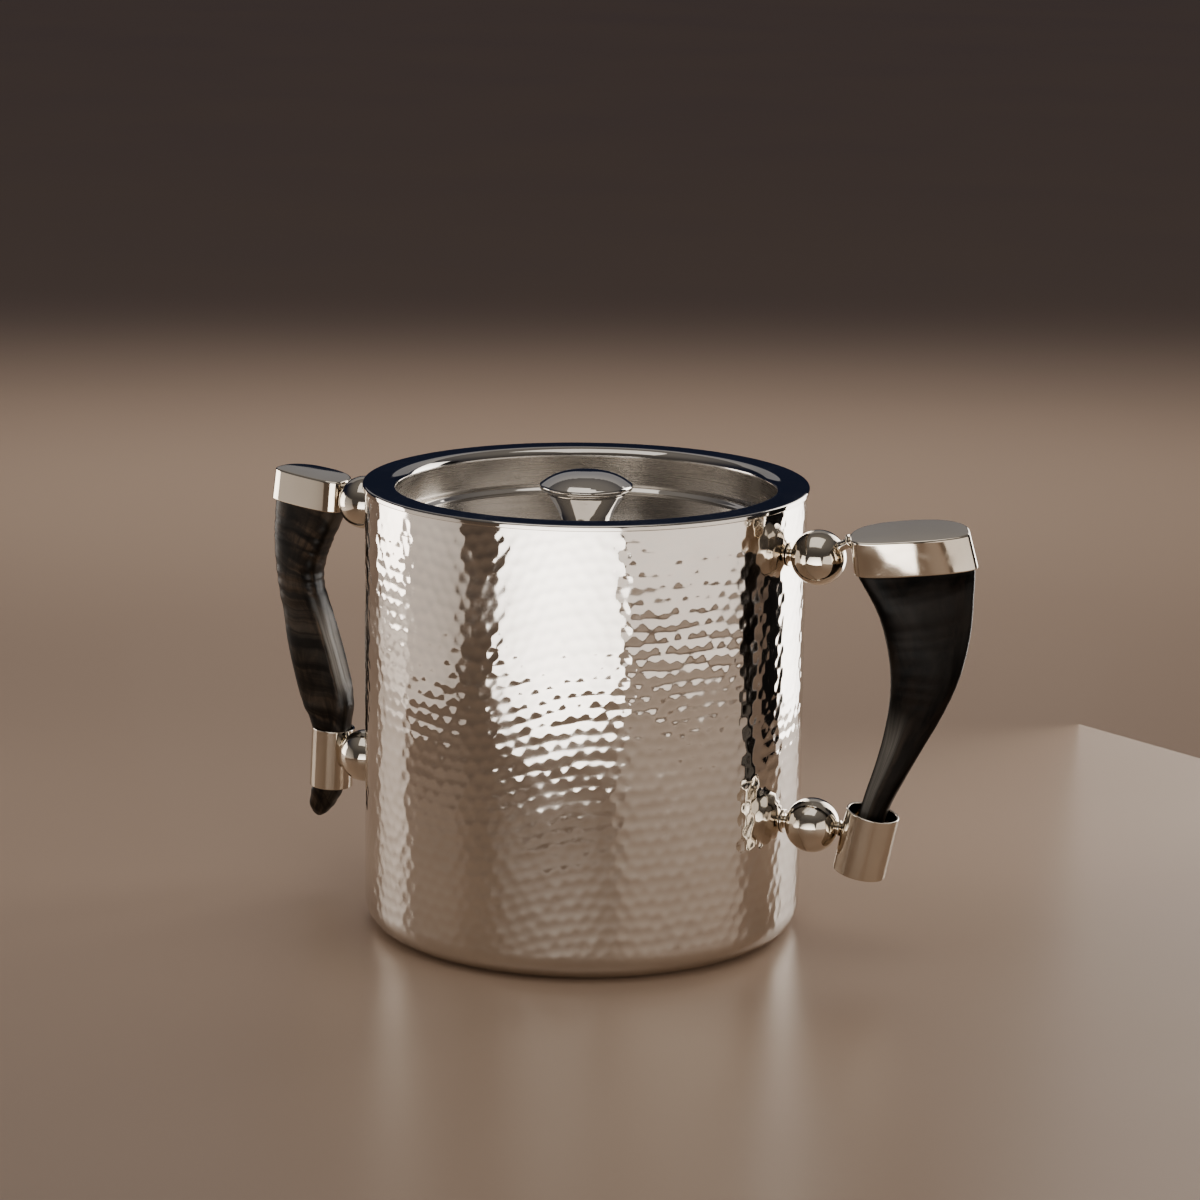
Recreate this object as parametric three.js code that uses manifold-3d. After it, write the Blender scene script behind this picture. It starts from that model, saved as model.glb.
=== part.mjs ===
// Double-walled ice bucket with an inset lift-off lid and two horn handles.
// Millimetres, +Z up. The origin is the centre of the bucket's flat underside and
// +X points at the larger of the two handles.
import * as THREE from 'three';
import { mergeVertices } from 'three/addons/utils/BufferGeometryUtils.js';
import Module from 'manifold-3d';

const wasm = await Module();
wasm.setup();

// ---------------------------------------------------------------- driving sizes
const ROUND_STEPS = 72;

const bucket = {
  rimRadius: 95,
  height: 193,
  shellSheet: 1.2,
  footCorner: 11,
};

const rim = {
  sheet: 1.0,
  lipDrop: 2.4,
  lipRound: 1.1,
  innerRound: 4,
  seam: 0.05,
};

const liner = {
  openingRadius: 80.4,
  ledgeDepth: 21.4,
  ledgeWidth: 4.6,
  floorGap: 12,
  floorCorner: 18,
};

const lid = {
  sheet: 1.2,
  floorDepth: 18.2,
  sideClearance: 0.6,
  seatClearance: 0.1,
  beadWidth: 5.6,
  beadHeight: 1.8,
  screwHole: 5.4,
  liftTravel: 100,
};

const knob = {
  topRadius: 20,
  neckRadius: 10.6,
  footRadius: 11.6,
  height: 16.8,
  domeHeight: 6.3,
  threadDepth: 12,
};

const knobScrew = { shank: 5, head: 9.5, headHeight: 2.6, washer: 13, washerSheet: 1 };

const ball = { radius: 11.6, standOff: 1.45, boreDepth: 7, boreClearance: 0.1 };

const stud = {
  shank: 5,
  collar: 10,
  inside: 8.2,
  holeClearance: 0.15,
  washer: 12,
  washerSheet: 1,
  nut: 8,
  nutHeight: 4,
};

const neck = { radius: 2.1, collarRadius: 3.5, collarWidth: 1.2, sink: 0.5 };

const cap = { wall: 1.2, fit: 0.3, cornerRound: 1.5, dome: 0.3 };

const ferrule = { wall: 1.0, length: 27 };

// Each handle is hand-made around its own natural horn, so each has its own sizes.
// Positions are [outward, sideways, up] from the outermost point of the upper ball; a
// cap is placed by the middle of its inner end.
// Each station of a horn is a position, a broad width, a thickness and a twist.
const rightHandle = {
  side: 'right',
  turn: 0,
  ballDrop: 22,
  ballSpacing: 115,
  flatSide: -1,
  cap: { start: [1.6, 7.5, 6.6], height: 15, broad: 50, thick: 28, twist: 25, rise: 4.5, lean: 8 },
  capFlare: 1.0,
  capSlant: 1.8,
  capNeck: [30, -4],
  ferrule: { centre: [12.4, 1, -119.5], radius: 11.2, lean: 12 },
  stations: [
    [32.6, 7.4, -14.5, 41, 24, 25],
    [34.4, 7, -28.5, 35.4, 21.6, 25],
    [34.4, 5.8, -44, 29.2, 19, 23],
    [31.8, 4.6, -58.5, 23, 16.6, 20],
    [27.4, 3.2, -73.5, 17.4, 14, 14],
    [22.6, 2.2, -87, 13.8, 12.4, 8],
    [17.8, 1.4, -99.5, 11.6, 11.4, 4],
    [14.8, 1.1, -109.5, 10.8, 10.8, 0],
    [12.8, 1, -118, 10.2, 10.2, 0],
    [11.8, 1, -123.5, 8.6, 8.6, 0],
    [11.3, 1, -126.5, 4.6, 4.6, 0],
  ],
};

const leftHandle = {
  side: 'left',
  turn: 180,
  ballDrop: 19,
  ballSpacing: 114.5,
  flatSide: 1,
  cap: { start: [1.2, -10, 2.2], height: 14, broad: 36, thick: 21.5, twist: -8, rise: 5, lean: 1 },
  capFlare: 0.5,
  capSlant: 0.3,
  capNeck: [14, -38],
  ferrule: { centre: [9.6, -7.5, -119], radius: 9.6, lean: -3 },
  stations: [
    [24, -9.6, -21, 26.8, 18.6, -8],
    [25.4, -9.2, -34, 21.2, 17.2, -8],
    [24.4, -9, -44, 19.8, 16.6, -6],
    [21.9, -8.8, -52.5, 21, 16.4, -4],
    [19.4, -8.5, -62, 23.3, 16.2, -2],
    [16.8, -8.2, -71, 24.2, 16.2, 0],
    [14.2, -8, -80, 24.6, 16, 0],
    [11.9, -7.8, -88, 24.4, 15.6, 0],
    [10.1, -7.6, -95, 22.4, 15.4, 0],
    [9.1, -7.5, -100, 16.6, 14.4, 0],
    [9, -7.5, -105.5, 13.6, 13.2, 0],
    [9.5, -7.5, -119, 13.4, 13, 0],
    [10.4, -7.5, -131, 13, 12.6, 0],
    [12.8, -7.5, -137, 12, 11.6, 0],
    [15.6, -7.5, -143, 9, 8.8, 0],
    [17, -7.5, -146.2, 4.4, 4.4, 0],
  ],
};

// ---------------------------------------------------------------- derived sizes
const shellRadius = bucket.rimRadius - rim.sheet - rim.seam;
const shellTop = bucket.height - rim.sheet - rim.seam;
const ledgeHeight = bucket.height - liner.ledgeDepth;
const chamberRadius = liner.openingRadius - liner.ledgeWidth;
const linerFloor = bucket.shellSheet + liner.floorGap;
const lidRadius = liner.openingRadius - lid.sideClearance;
const lidFloor = bucket.height - lid.floorDepth;
const ballReach = shellRadius + ball.standOff + ball.radius;
const handleReach = ballReach + ball.radius;
const upperBallHeight = (handle) => bucket.height - handle.ballDrop;
const lowerBallHeight = (handle) => upperBallHeight(handle) - handle.ballSpacing;
const held = (handle, [out, side, up]) =>
  new THREE.Vector3(handleReach + out, side, upperBallHeight(handle) + up);
const capCentre = (handle) => {
  const [out, side, up] = handle.cap.start;
  return held(handle, [out + handle.cap.broad / 2, side, up]);
};

// ---------------------------------------------------------------- materials
const metal = (color, roughness) => new THREE.MeshStandardMaterial({ color, roughness, metalness: 1 });
const hammeredSteel = () => metal(0xc9c3bb, 0.22);
const mirrorSteel = () => metal(0xd2d0cc, 0.08);
const satinSteel = () => metal(0xbfbab2, 0.32);
const polishedNickel = () => metal(0xcfc8b8, 0.1);
const zincPlate = () => metal(0xa9adb0, 0.4);
const darkHorn = () => new THREE.MeshStandardMaterial({ color: 0x221c18, roughness: 0.38, metalness: 0 });
const ringedHorn = () => new THREE.MeshStandardMaterial({ color: 0x3a322b, roughness: 0.42, metalness: 0 });

// ---------------------------------------------------------------- geometry helpers
const radians = THREE.MathUtils.degToRad;

/** Leaves only positions and index, welded, with every face pointing outwards. */
function closed(geometry) {
  geometry.deleteAttribute('normal');
  geometry.deleteAttribute('uv');
  const welded = mergeVertices(geometry, 1e-4);
  const position = welded.attributes.position;
  const index = Array.from(welded.index.array);
  const corners = [new THREE.Vector3(), new THREE.Vector3(), new THREE.Vector3()];
  const kept = [];
  let volume = 0;
  for (let i = 0; i < index.length; i += 3) {
    const face = index.slice(i, i + 3);
    if (new Set(face).size < 3) continue;
    face.forEach((v, c) => corners[c].fromBufferAttribute(position, v));
    volume += corners[0].dot(corners[1].cross(corners[2]));
    kept.push(face);
  }
  if (volume < 0) kept.forEach((face) => face.reverse());
  welded.setIndex(kept.flat());
  return welded;
}

/** Turns an [r, z] profile about the Z axis. */
function turned(profile, steps = ROUND_STEPS) {
  const points = profile.map(([r, z]) => new THREE.Vector2(r, z));
  return closed(new THREE.LatheGeometry(points, steps).rotateX(Math.PI / 2));
}

/** Points of an arc about [r, z], from one angle to another in degrees. */
function arc([r, z], radius, from, to, steps = 6) {
  const points = [];
  for (let i = 0; i <= steps; i += 1) {
    const angle = radians(from + ((to - from) * i) / steps);
    points.push([r + radius * Math.cos(angle), z + radius * Math.sin(angle)]);
  }
  return points;
}

/** Skins equal-length rings of points and closes both ends on their centres. */
function skin(rings) {
  const count = rings[0].length;
  const vertices = rings.flat();
  const index = [];
  for (let r = 0; r + 1 < rings.length; r += 1) {
    for (let i = 0; i < count; i += 1) {
      const a = r * count + i;
      const b = r * count + ((i + 1) % count);
      index.push(a, b, b + count, a, b + count, a + count);
    }
  }
  const fan = (ring, first, flip) => {
    const centre = ring.reduce((sum, p) => sum.add(p), new THREE.Vector3()).divideScalar(count);
    const tip = vertices.push(centre) - 1;
    for (let i = 0; i < count; i += 1) {
      const a = first + i;
      const b = first + ((i + 1) % count);
      index.push(...(flip ? [tip, a, b] : [tip, b, a]));
    }
  };
  fan(rings[0], 0, false);
  fan(rings.at(-1), (rings.length - 1) * count, true);
  const geometry = new THREE.BufferGeometry().setFromPoints(vertices);
  geometry.setIndex(index);
  return closed(geometry);
}

function solid(geometry) {
  const vertProperties = new Float32Array(geometry.attributes.position.array);
  const triVerts = new Uint32Array(geometry.index.array);
  return new wasm.Manifold(new wasm.Mesh({ numProp: 3, vertProperties, triVerts }));
}

function geometryOf(manifold) {
  const mesh = manifold.getMesh();
  const geometry = new THREE.BufferGeometry();
  geometry.setAttribute('position', new THREE.BufferAttribute(new Float32Array(mesh.vertProperties), 3));
  geometry.setIndex(Array.from(mesh.triVerts));
  return geometry;
}

const cut = (body, ...tools) =>
  geometryOf(tools.reduce((left, tool) => left.subtract(solid(tool)), solid(body)));

/** A round rod along +Z from z = low to z = high. */
const rod = (radius, low, high, steps = 24) =>
  turned([[0, low], [radius, low], [radius, high], [0, high]], steps);

/** Turns geometry made along +Z so that it points outwards along +X. */
const outward = (geometry) => closed(geometry.rotateY(Math.PI / 2));

function piece(name, geometry, material) {
  geometry.computeVertexNormals();
  const mesh = new THREE.Mesh(geometry, material);
  mesh.name = name;
  return mesh;
}

// ---------------------------------------------------------------- bucket body
function outerShell() {
  const inner = shellRadius - bucket.shellSheet;
  const corner = [shellRadius - bucket.footCorner, bucket.footCorner];
  const body = turned([
    [0, 0],
    ...arc(corner, bucket.footCorner, -90, 0, 6),
    [shellRadius, shellTop],
    [inner, shellTop],
    ...arc(corner, bucket.footCorner - bucket.shellSheet, 0, -90, 6),
    [0, bucket.shellSheet],
  ]);
  const holes = [rightHandle, leftHandle].flatMap((handle) =>
    [upperBallHeight(handle), lowerBallHeight(handle)].map((height) => {
      const hole = outward(rod(stud.shank / 2 + stud.holeClearance, inner - 4, shellRadius + 4));
      hole.rotateZ(radians(handle.turn));
      return hole.translate(0, 0, height);
    }),
  );
  return piece('outer_shell', cut(body, ...holes), hammeredSteel());
}

/** The spun inner wall with its lid ledge, rolled rim and the lip over the shell. */
function innerLiner() {
  const t = rim.sheet;
  const top = bucket.height;
  const open = liner.openingRadius;
  const chamber = chamberRadius;
  const floorCentre = [chamber - liner.floorCorner, linerFloor + t + liner.floorCorner];
  const rollCentre = [open + rim.innerRound, top - rim.innerRound];
  const lipInner = bucket.rimRadius - t;
  const lipCentre = [bucket.rimRadius - rim.lipRound, top - rim.lipRound];
  return piece('inner_liner', turned([
    [0, linerFloor],
    ...arc(floorCentre, liner.floorCorner + t, -90, 0, 5),
    [chamber + t, ledgeHeight - t],
    [open + t, ledgeHeight - t],
    ...arc(rollCentre, rim.innerRound - t, 180, 90, 3),
    [lipInner, top - t],
    [lipInner, top - rim.lipDrop],
    [bucket.rimRadius, top - rim.lipDrop],
    ...arc(lipCentre, rim.lipRound, 0, 90, 3),
    ...arc(rollCentre, rim.innerRound, 90, 180, 5),
    [open, ledgeHeight],
    [chamber, ledgeHeight],
    ...arc(floorCentre, liner.floorCorner, 0, -90, 5),
    [0, linerFloor + t],
  ]), satinSteel());
}

// ---------------------------------------------------------------- lid
function lidPan() {
  const seat = ledgeHeight + lid.seatClearance;
  const crest = lidFloor + lid.beadHeight;
  const inner = lidRadius - lid.beadWidth;
  const roll = lid.beadWidth / 2;
  const bead = (offset) => {
    const points = [];
    for (let i = 0; i <= 6; i += 1) {
      const x = i / 6;
      const lift = lid.beadHeight * 0.5 * (1 - Math.cos(Math.PI * x));
      points.push([inner + (roll - offset * 0.4) * x, lidFloor + lift - offset]);
    }
    return points;
  };
  const hole = lid.screwHole / 2;
  return piece('lid_pan', turned([
    [hole, lidFloor - lid.sheet],
    ...bead(lid.sheet),
    [lidRadius - lid.sheet, crest - lid.sheet - 0.9],
    [lidRadius - lid.sheet, seat],
    [lidRadius, seat],
    [lidRadius, crest - roll * 0.62],
    [lidRadius - 0.35, crest - roll * 0.3],
    [lidRadius - 1.0, crest - 0.25],
    ...bead(0).reverse(),
    [hole, lidFloor],
    [hole, lidFloor - lid.sheet],
  ]), mirrorSteel());
}

/** A cone that widens from its foot to a shallow dome, bored for the screw. */
function lidKnob() {
  const base = lidFloor;
  const edge = base + knob.height;
  const bore = knobScrew.shank / 2 + 0.1;
  const dome = [];
  for (let i = 0; i <= 8; i += 1) {
    const x = i / 8;
    const rise = 1 - (1 - x) ** 2.7;
    dome.push([(knob.topRadius - 0.7) * (1 - x), edge + 0.9 + (knob.domeHeight - 0.9) * rise]);
  }
  return piece('lid_knob', turned([
    [0, base + knob.threadDepth],
    [bore, base + knob.threadDepth],
    [bore, base],
    [knob.footRadius, base],
    [knob.footRadius, base + 1.2],
    [knob.neckRadius, base + 2.4],
    [knob.neckRadius + 0.5, base + 4],
    [knob.topRadius - 2.6, edge - 3.2],
    [knob.topRadius - 1.9, edge - 2.2],
    [knob.topRadius - 0.5, edge - 1.6],
    [knob.topRadius, edge - 0.8],
    [knob.topRadius, edge + 0.1],
    ...dome,
  ], 40), mirrorSteel());
}

function knobWasher() {
  const top = lidFloor - lid.sheet;
  const hole = knobScrew.shank / 2 + 0.15;
  return piece('knob_washer', turned([
    [hole, top - knobScrew.washerSheet],
    [knobScrew.washer / 2, top - knobScrew.washerSheet],
    [knobScrew.washer / 2, top],
    [hole, top],
    [hole, top - knobScrew.washerSheet],
  ], 32), zincPlate());
}

function knobFixing() {
  const seat = lidFloor - lid.sheet - knobScrew.washerSheet;
  const low = seat - knobScrew.headHeight;
  const shank = knobScrew.shank / 2;
  return piece('knob_screw', turned([
    [0, low],
    [knobScrew.head / 2 - 0.8, low],
    [knobScrew.head / 2, low + 0.9],
    [knobScrew.head / 2, seat],
    [shank, seat],
    [shank, lidFloor + knob.threadDepth - 1],
    [0, lidFloor + knob.threadDepth - 1],
  ], 32), zincPlate());
}

// ---------------------------------------------------------------- handle mounts
/** A ball that stands off the shell, drilled for the stud that carries it. */
function ballPost(handle, level, height) {
  const steps = 10;
  const profile = arc([0, 0], ball.radius, -90, 90, steps);
  profile[0] = [0, -ball.radius];
  profile[steps] = [0, ball.radius];
  const bore = rod(
    stud.shank / 2 + ball.boreClearance,
    -ball.radius - 1,
    -ball.radius + ball.boreDepth,
  );
  const body = outward(cut(turned(profile, 20), bore)).translate(ballReach, 0, height);
  return piece(`${handle.side}_${level}_ball`, body, polishedNickel());
}

/** The threaded stud and its collar, from the ball through the shell wall. */
function ballStud(handle, level, height) {
  const collarIn = shellRadius + 0.05;
  const collarOut = shellRadius + ball.standOff + 0.9;
  const inner = shellRadius - bucket.shellSheet - stud.inside;
  const end = ballReach - ball.radius + ball.boreDepth - 0.5;
  const shank = stud.shank / 2;
  const collar = stud.collar / 2;
  const rodBody = turned([
    [0, inner],
    [shank, inner],
    [shank, collarIn],
    [collar, collarIn],
    [collar * 0.8, collarIn + ball.standOff * 0.75],
    [shank, collarIn + ball.standOff * 0.78],
    [shank, end],
    [0, end],
  ], 24);
  return piece(`${handle.side}_${level}_stud`, outward(rodBody).translate(0, 0, height), polishedNickel());
}

/** A flat washer against the inside of the shell, in the hidden gap between the walls. */
function studWasher(handle, level, height) {
  const inner = shellRadius - bucket.shellSheet;
  const face = Math.sqrt(inner ** 2 - (stud.washer / 2) ** 2) - 0.1;
  const hole = stud.shank / 2 + stud.holeClearance;
  const ring = turned([
    [hole, face - stud.washerSheet],
    [stud.washer / 2, face - stud.washerSheet],
    [stud.washer / 2, face],
    [hole, face],
    [hole, face - stud.washerSheet],
  ], 24);
  return piece(`${handle.side}_${level}_washer`, outward(ring).translate(0, 0, height), zincPlate());
}

function studNut(handle, level, height) {
  const inner = shellRadius - bucket.shellSheet;
  const face = Math.sqrt(inner ** 2 - (stud.washer / 2) ** 2) - 0.15 - stud.washerSheet;
  const across = stud.nut / 2 / Math.cos(Math.PI / 6);
  const low = face - stud.nutHeight;
  const hexagon = rod(across, low, face, 6);
  const hole = rod(stud.shank / 2 + 0.05, low - 1, face + 1);
  const nut = outward(cut(hexagon, hole)).translate(0, 0, height);
  return piece(`${handle.side}_${level}_nut`, nut, zincPlate());
}

// ---------------------------------------------------------------- horn handles
/** Sideways, outward and normal directions of a plate turned, raised and leaned. */
function plateAxes({ twist, rise, lean }, flatSide) {
  const turn = new THREE.Matrix4().makeRotationZ(radians(twist));
  const raise = new THREE.Matrix4().makeRotationY(radians(-rise));
  const roll = new THREE.Matrix4().makeRotationX(radians(-lean * flatSide));
  return turn.multiply(raise).multiply(roll);
}

/** A closed D outline: one flat side, one bowed side, with softened corners. */
function dOutline(broad, thick, flatSide, count = 36) {
  const points = [];
  for (let i = 0; i < count; i += 1) {
    const angle = (2 * Math.PI * i) / count;
    const c = Math.cos(angle);
    const s = Math.sin(angle);
    const bow = s >= 0 ? Math.abs(s) ** 0.9 : -(Math.abs(s) ** 0.45) * 0.62;
    const along = Math.sign(c) * Math.abs(c) ** 0.82;
    const across = (bow - 0.19) / 1.62;
    points.push([(along * broad) / 2, -flatSide * across * thick]);
  }
  return points;
}

/** The cap's outline, inset from its outer wall, at a height above its open edge. */
function capRing(handle, inset, z) {
  const { height, broad, thick } = handle.cap;
  const place = plateAxes(handle.cap, handle.flatSide).setPosition(capCentre(handle));
  const slant = handle.capSlant * (0.5 - z / height);
  const spread = 2 * (handle.capFlare * (0.5 - z / height) - inset);
  return dOutline(broad + spread, thick + spread, handle.flatSide)
    .map(([x, y]) => new THREE.Vector3(x + slant, y, z - height / 2).applyMatrix4(place));
}

/** The cap's outside, from its open edge up over its slightly domed top. */
function capOuterRings(handle) {
  const { height, thick } = handle.cap;
  const outer = [[0, 0], [0, height * 0.5]];
  for (let i = 0; i <= 4; i += 1) {
    const angle = (Math.PI / 2) * (i / 4);
    const r = cap.cornerRound;
    outer.push([r * (1 - Math.cos(angle)), height - r + r * Math.sin(angle)]);
  }
  outer.push([thick * 0.25, height + cap.dome * 0.7]);
  return outer.map(([inset, z]) => capRing(handle, inset, z));
}

/** The nickel cap: a cup that covers the horn's broad end, open underneath. */
function hornCap(handle) {
  const ceiling = handle.cap.height - cap.wall;
  const inner = [[cap.wall + 2, ceiling], [cap.wall, ceiling - 1], [cap.wall, 0]]
    .map(([inset, z]) => capRing(handle, inset, z));
  return piece(`${handle.side}_cap`, skin([...inner, ...capOuterRings(handle)]), polishedNickel());
}

/** The horn: D-shaped sections carried along its own curve from cap to tip. */
function horn(handle) {
  const stations = handle.stations;
  const centres = stations.map((station) => held(handle, station));
  const top = handle.cap.height - cap.wall - cap.fit;
  const side = cap.wall + cap.fit;
  const inCap = [[side + 2, top], [side, top - 1.2], [side, 0], [side, -1.5]]
    .map(([inset, z]) => capRing(handle, inset, z));
  const rings = stations.map(([, , , broad, thick, twist], i) => {
    const before = i === 0 ? capCentre(handle) : centres[i - 1];
    const after = centres[Math.min(i + 1, stations.length - 1)];
    const along = before.clone().sub(after).normalize();
    const wide = new THREE.Vector3(Math.cos(radians(twist)), Math.sin(radians(twist)), 0);
    wide.addScaledVector(along, -wide.dot(along)).normalize();
    const deep = new THREE.Vector3().crossVectors(along, wide);
    return dOutline(broad, thick, handle.flatSide).map(([x, y]) =>
      centres[i].clone().addScaledVector(wide, x).addScaledVector(deep, y));
  });
  const material = handle.side === 'right' ? darkHorn() : ringedHorn();
  return piece(`${handle.side}_horn`, skin([...inCap, ...rings]), material);
}

/** The open sleeve that holds the horn's thin end. */
function hornFerrule(handle) {
  const half = ferrule.length / 2;
  const radius = handle.ferrule.radius;
  const bore = radius - ferrule.wall;
  const sleeve = turned([
    [bore, -half],
    [radius, -half],
    [radius, half],
    [bore, half],
    [bore, -half],
  ], 40);
  return piece(`${handle.side}_ferrule`, placedAtFerrule(handle, sleeve), polishedNickel());
}

const placedAtFerrule = (handle, geometry) =>
  geometry.rotateY(radians(handle.ferrule.lean)).translate(...held(handle, handle.ferrule.centre));

/** Where a straight line first meets a piece's faces. */
function firstHit(mesh, origin, direction) {
  return new THREE.Raycaster(origin, direction).intersectObject(mesh)[0].point;
}

/** A waisted neck with a collar, from a ball to the piece it carries, trimmed to both. */
function neckBetween(name, height, aim, post, carried, collarAt) {
  const centre = new THREE.Vector3(ballReach, 0, height);
  const start = ball.radius - neck.sink;
  const wall = firstHit(piece(name, carried), centre, aim).distanceTo(centre);
  const r = neck.radius;
  const at = ball.radius + (wall - ball.radius) * collarAt;
  const half = Math.min(neck.collarWidth, wall - ball.radius) / 2;
  const body = turned([
    [0, start],
    [r, start],
    [r, at - half],
    [neck.collarRadius, at - half * 0.5],
    [neck.collarRadius, at + half * 0.5],
    [r, at + half],
    [r, wall + 0.8 * r],
    [0, wall + 0.8 * r],
  ], 20);
  const turn = new THREE.Quaternion().setFromUnitVectors(new THREE.Vector3(0, 0, 1), aim);
  body.applyQuaternion(turn).translate(centre.x, centre.y, centre.z);
  return piece(name, cut(body, post.geometry, carried), polishedNickel());
}

function upperNeck(handle, post, carried) {
  const [rise, swing] = handle.capNeck.map(radians);
  const aim = new THREE.Vector3(
    Math.cos(rise) * Math.cos(swing),
    Math.cos(rise) * Math.sin(swing),
    Math.sin(rise),
  );
  return neckBetween(`${handle.side}_upper_neck`, upperBallHeight(handle), aim, post, carried, 0.8);
}

function lowerNeck(handle, post, carried) {
  const sleeve = held(handle, handle.ferrule.centre);
  const aim = new THREE.Vector3(sleeve.x - ballReach, sleeve.y, 0).normalize();
  return neckBetween(`${handle.side}_lower_neck`, lowerBallHeight(handle), aim, post, carried, 0.5);
}

function handleGroup(handle) {
  const group = new THREE.Group();
  group.name = `${handle.side}_handle`;
  const upperBall = ballPost(handle, 'upper', upperBallHeight(handle));
  const lowerBall = ballPost(handle, 'lower', lowerBallHeight(handle));
  const crown = hornCap(handle);
  const sleeve = hornFerrule(handle);
  group.add(upperBall, lowerBall, crown, sleeve, horn(handle));
  group.add(upperNeck(handle, upperBall, skin(capOuterRings(handle))));
  const sleeveCore = rod(handle.ferrule.radius, -ferrule.length / 2, ferrule.length / 2, 40);
  group.add(lowerNeck(handle, lowerBall, placedAtFerrule(handle, sleeveCore)));
  const levels = { upper: upperBallHeight(handle), lower: lowerBallHeight(handle) };
  for (const [level, height] of Object.entries(levels)) {
    group.add(ballStud(handle, level, height));
    group.add(studWasher(handle, level, height));
    group.add(studNut(handle, level, height));
  }
  group.rotation.z = radians(handle.turn);
  return group;
}

// ---------------------------------------------------------------- assembly
const iceBucket = new THREE.Group();
iceBucket.name = 'ice_bucket';
iceBucket.add(outerShell(), innerLiner());

const lidGroup = new THREE.Group();
lidGroup.name = 'lid';
lidGroup.add(lidPan(), lidKnob(), knobWasher(), knobFixing());
iceBucket.add(lidGroup);

iceBucket.add(handleGroup(rightHandle), handleGroup(leftHandle));

export default iceBucket;
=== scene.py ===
"""Looks of a double-walled ice bucket with a sunk lid and two horn handles.

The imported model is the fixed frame. Each part that shows is replaced by a finer surface
in the same place: metres, +Z up, origin under the middle of the bucket, +X towards the
larger handle. Sizes of the bucket are in millimetres and become metres in the meshes;
sizes of the studio are in metres.
"""
import logging
import math
from collections.abc import Sequence
from dataclasses import dataclass, field
from enum import Enum

import bpy
import numpy as np
from mathutils import Matrix, Vector


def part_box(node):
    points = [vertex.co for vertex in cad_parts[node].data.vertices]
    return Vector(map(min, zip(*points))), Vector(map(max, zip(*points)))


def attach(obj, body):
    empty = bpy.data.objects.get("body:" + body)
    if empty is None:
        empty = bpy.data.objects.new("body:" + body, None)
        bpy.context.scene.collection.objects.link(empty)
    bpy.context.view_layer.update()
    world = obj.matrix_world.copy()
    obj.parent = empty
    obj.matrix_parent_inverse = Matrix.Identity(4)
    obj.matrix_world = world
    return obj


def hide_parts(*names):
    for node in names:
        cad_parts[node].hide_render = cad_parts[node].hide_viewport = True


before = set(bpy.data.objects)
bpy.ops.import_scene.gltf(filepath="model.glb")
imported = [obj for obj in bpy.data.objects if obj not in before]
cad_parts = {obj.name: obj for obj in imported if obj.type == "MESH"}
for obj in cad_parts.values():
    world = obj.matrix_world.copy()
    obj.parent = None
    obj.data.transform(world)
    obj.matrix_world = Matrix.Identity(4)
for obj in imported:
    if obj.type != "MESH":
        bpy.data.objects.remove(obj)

LOG = logging.getLogger("ice_bucket")
MM = 0.001
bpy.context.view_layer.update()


class Body(Enum):
    """The two bodies of the frame."""

    BUCKET = "bucket"
    LID = "lid"


class Slot(Enum):
    """The record's material slots."""

    HAMMERED = "hammered_steel"
    SATIN = "satin_steel"
    MIRROR = "mirror_steel"
    NICKEL = "polished_nickel"
    ZINC = "zinc_plate"
    DARK_HORN = "dark_horn"
    RINGED_HORN = "ringed_horn"


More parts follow.
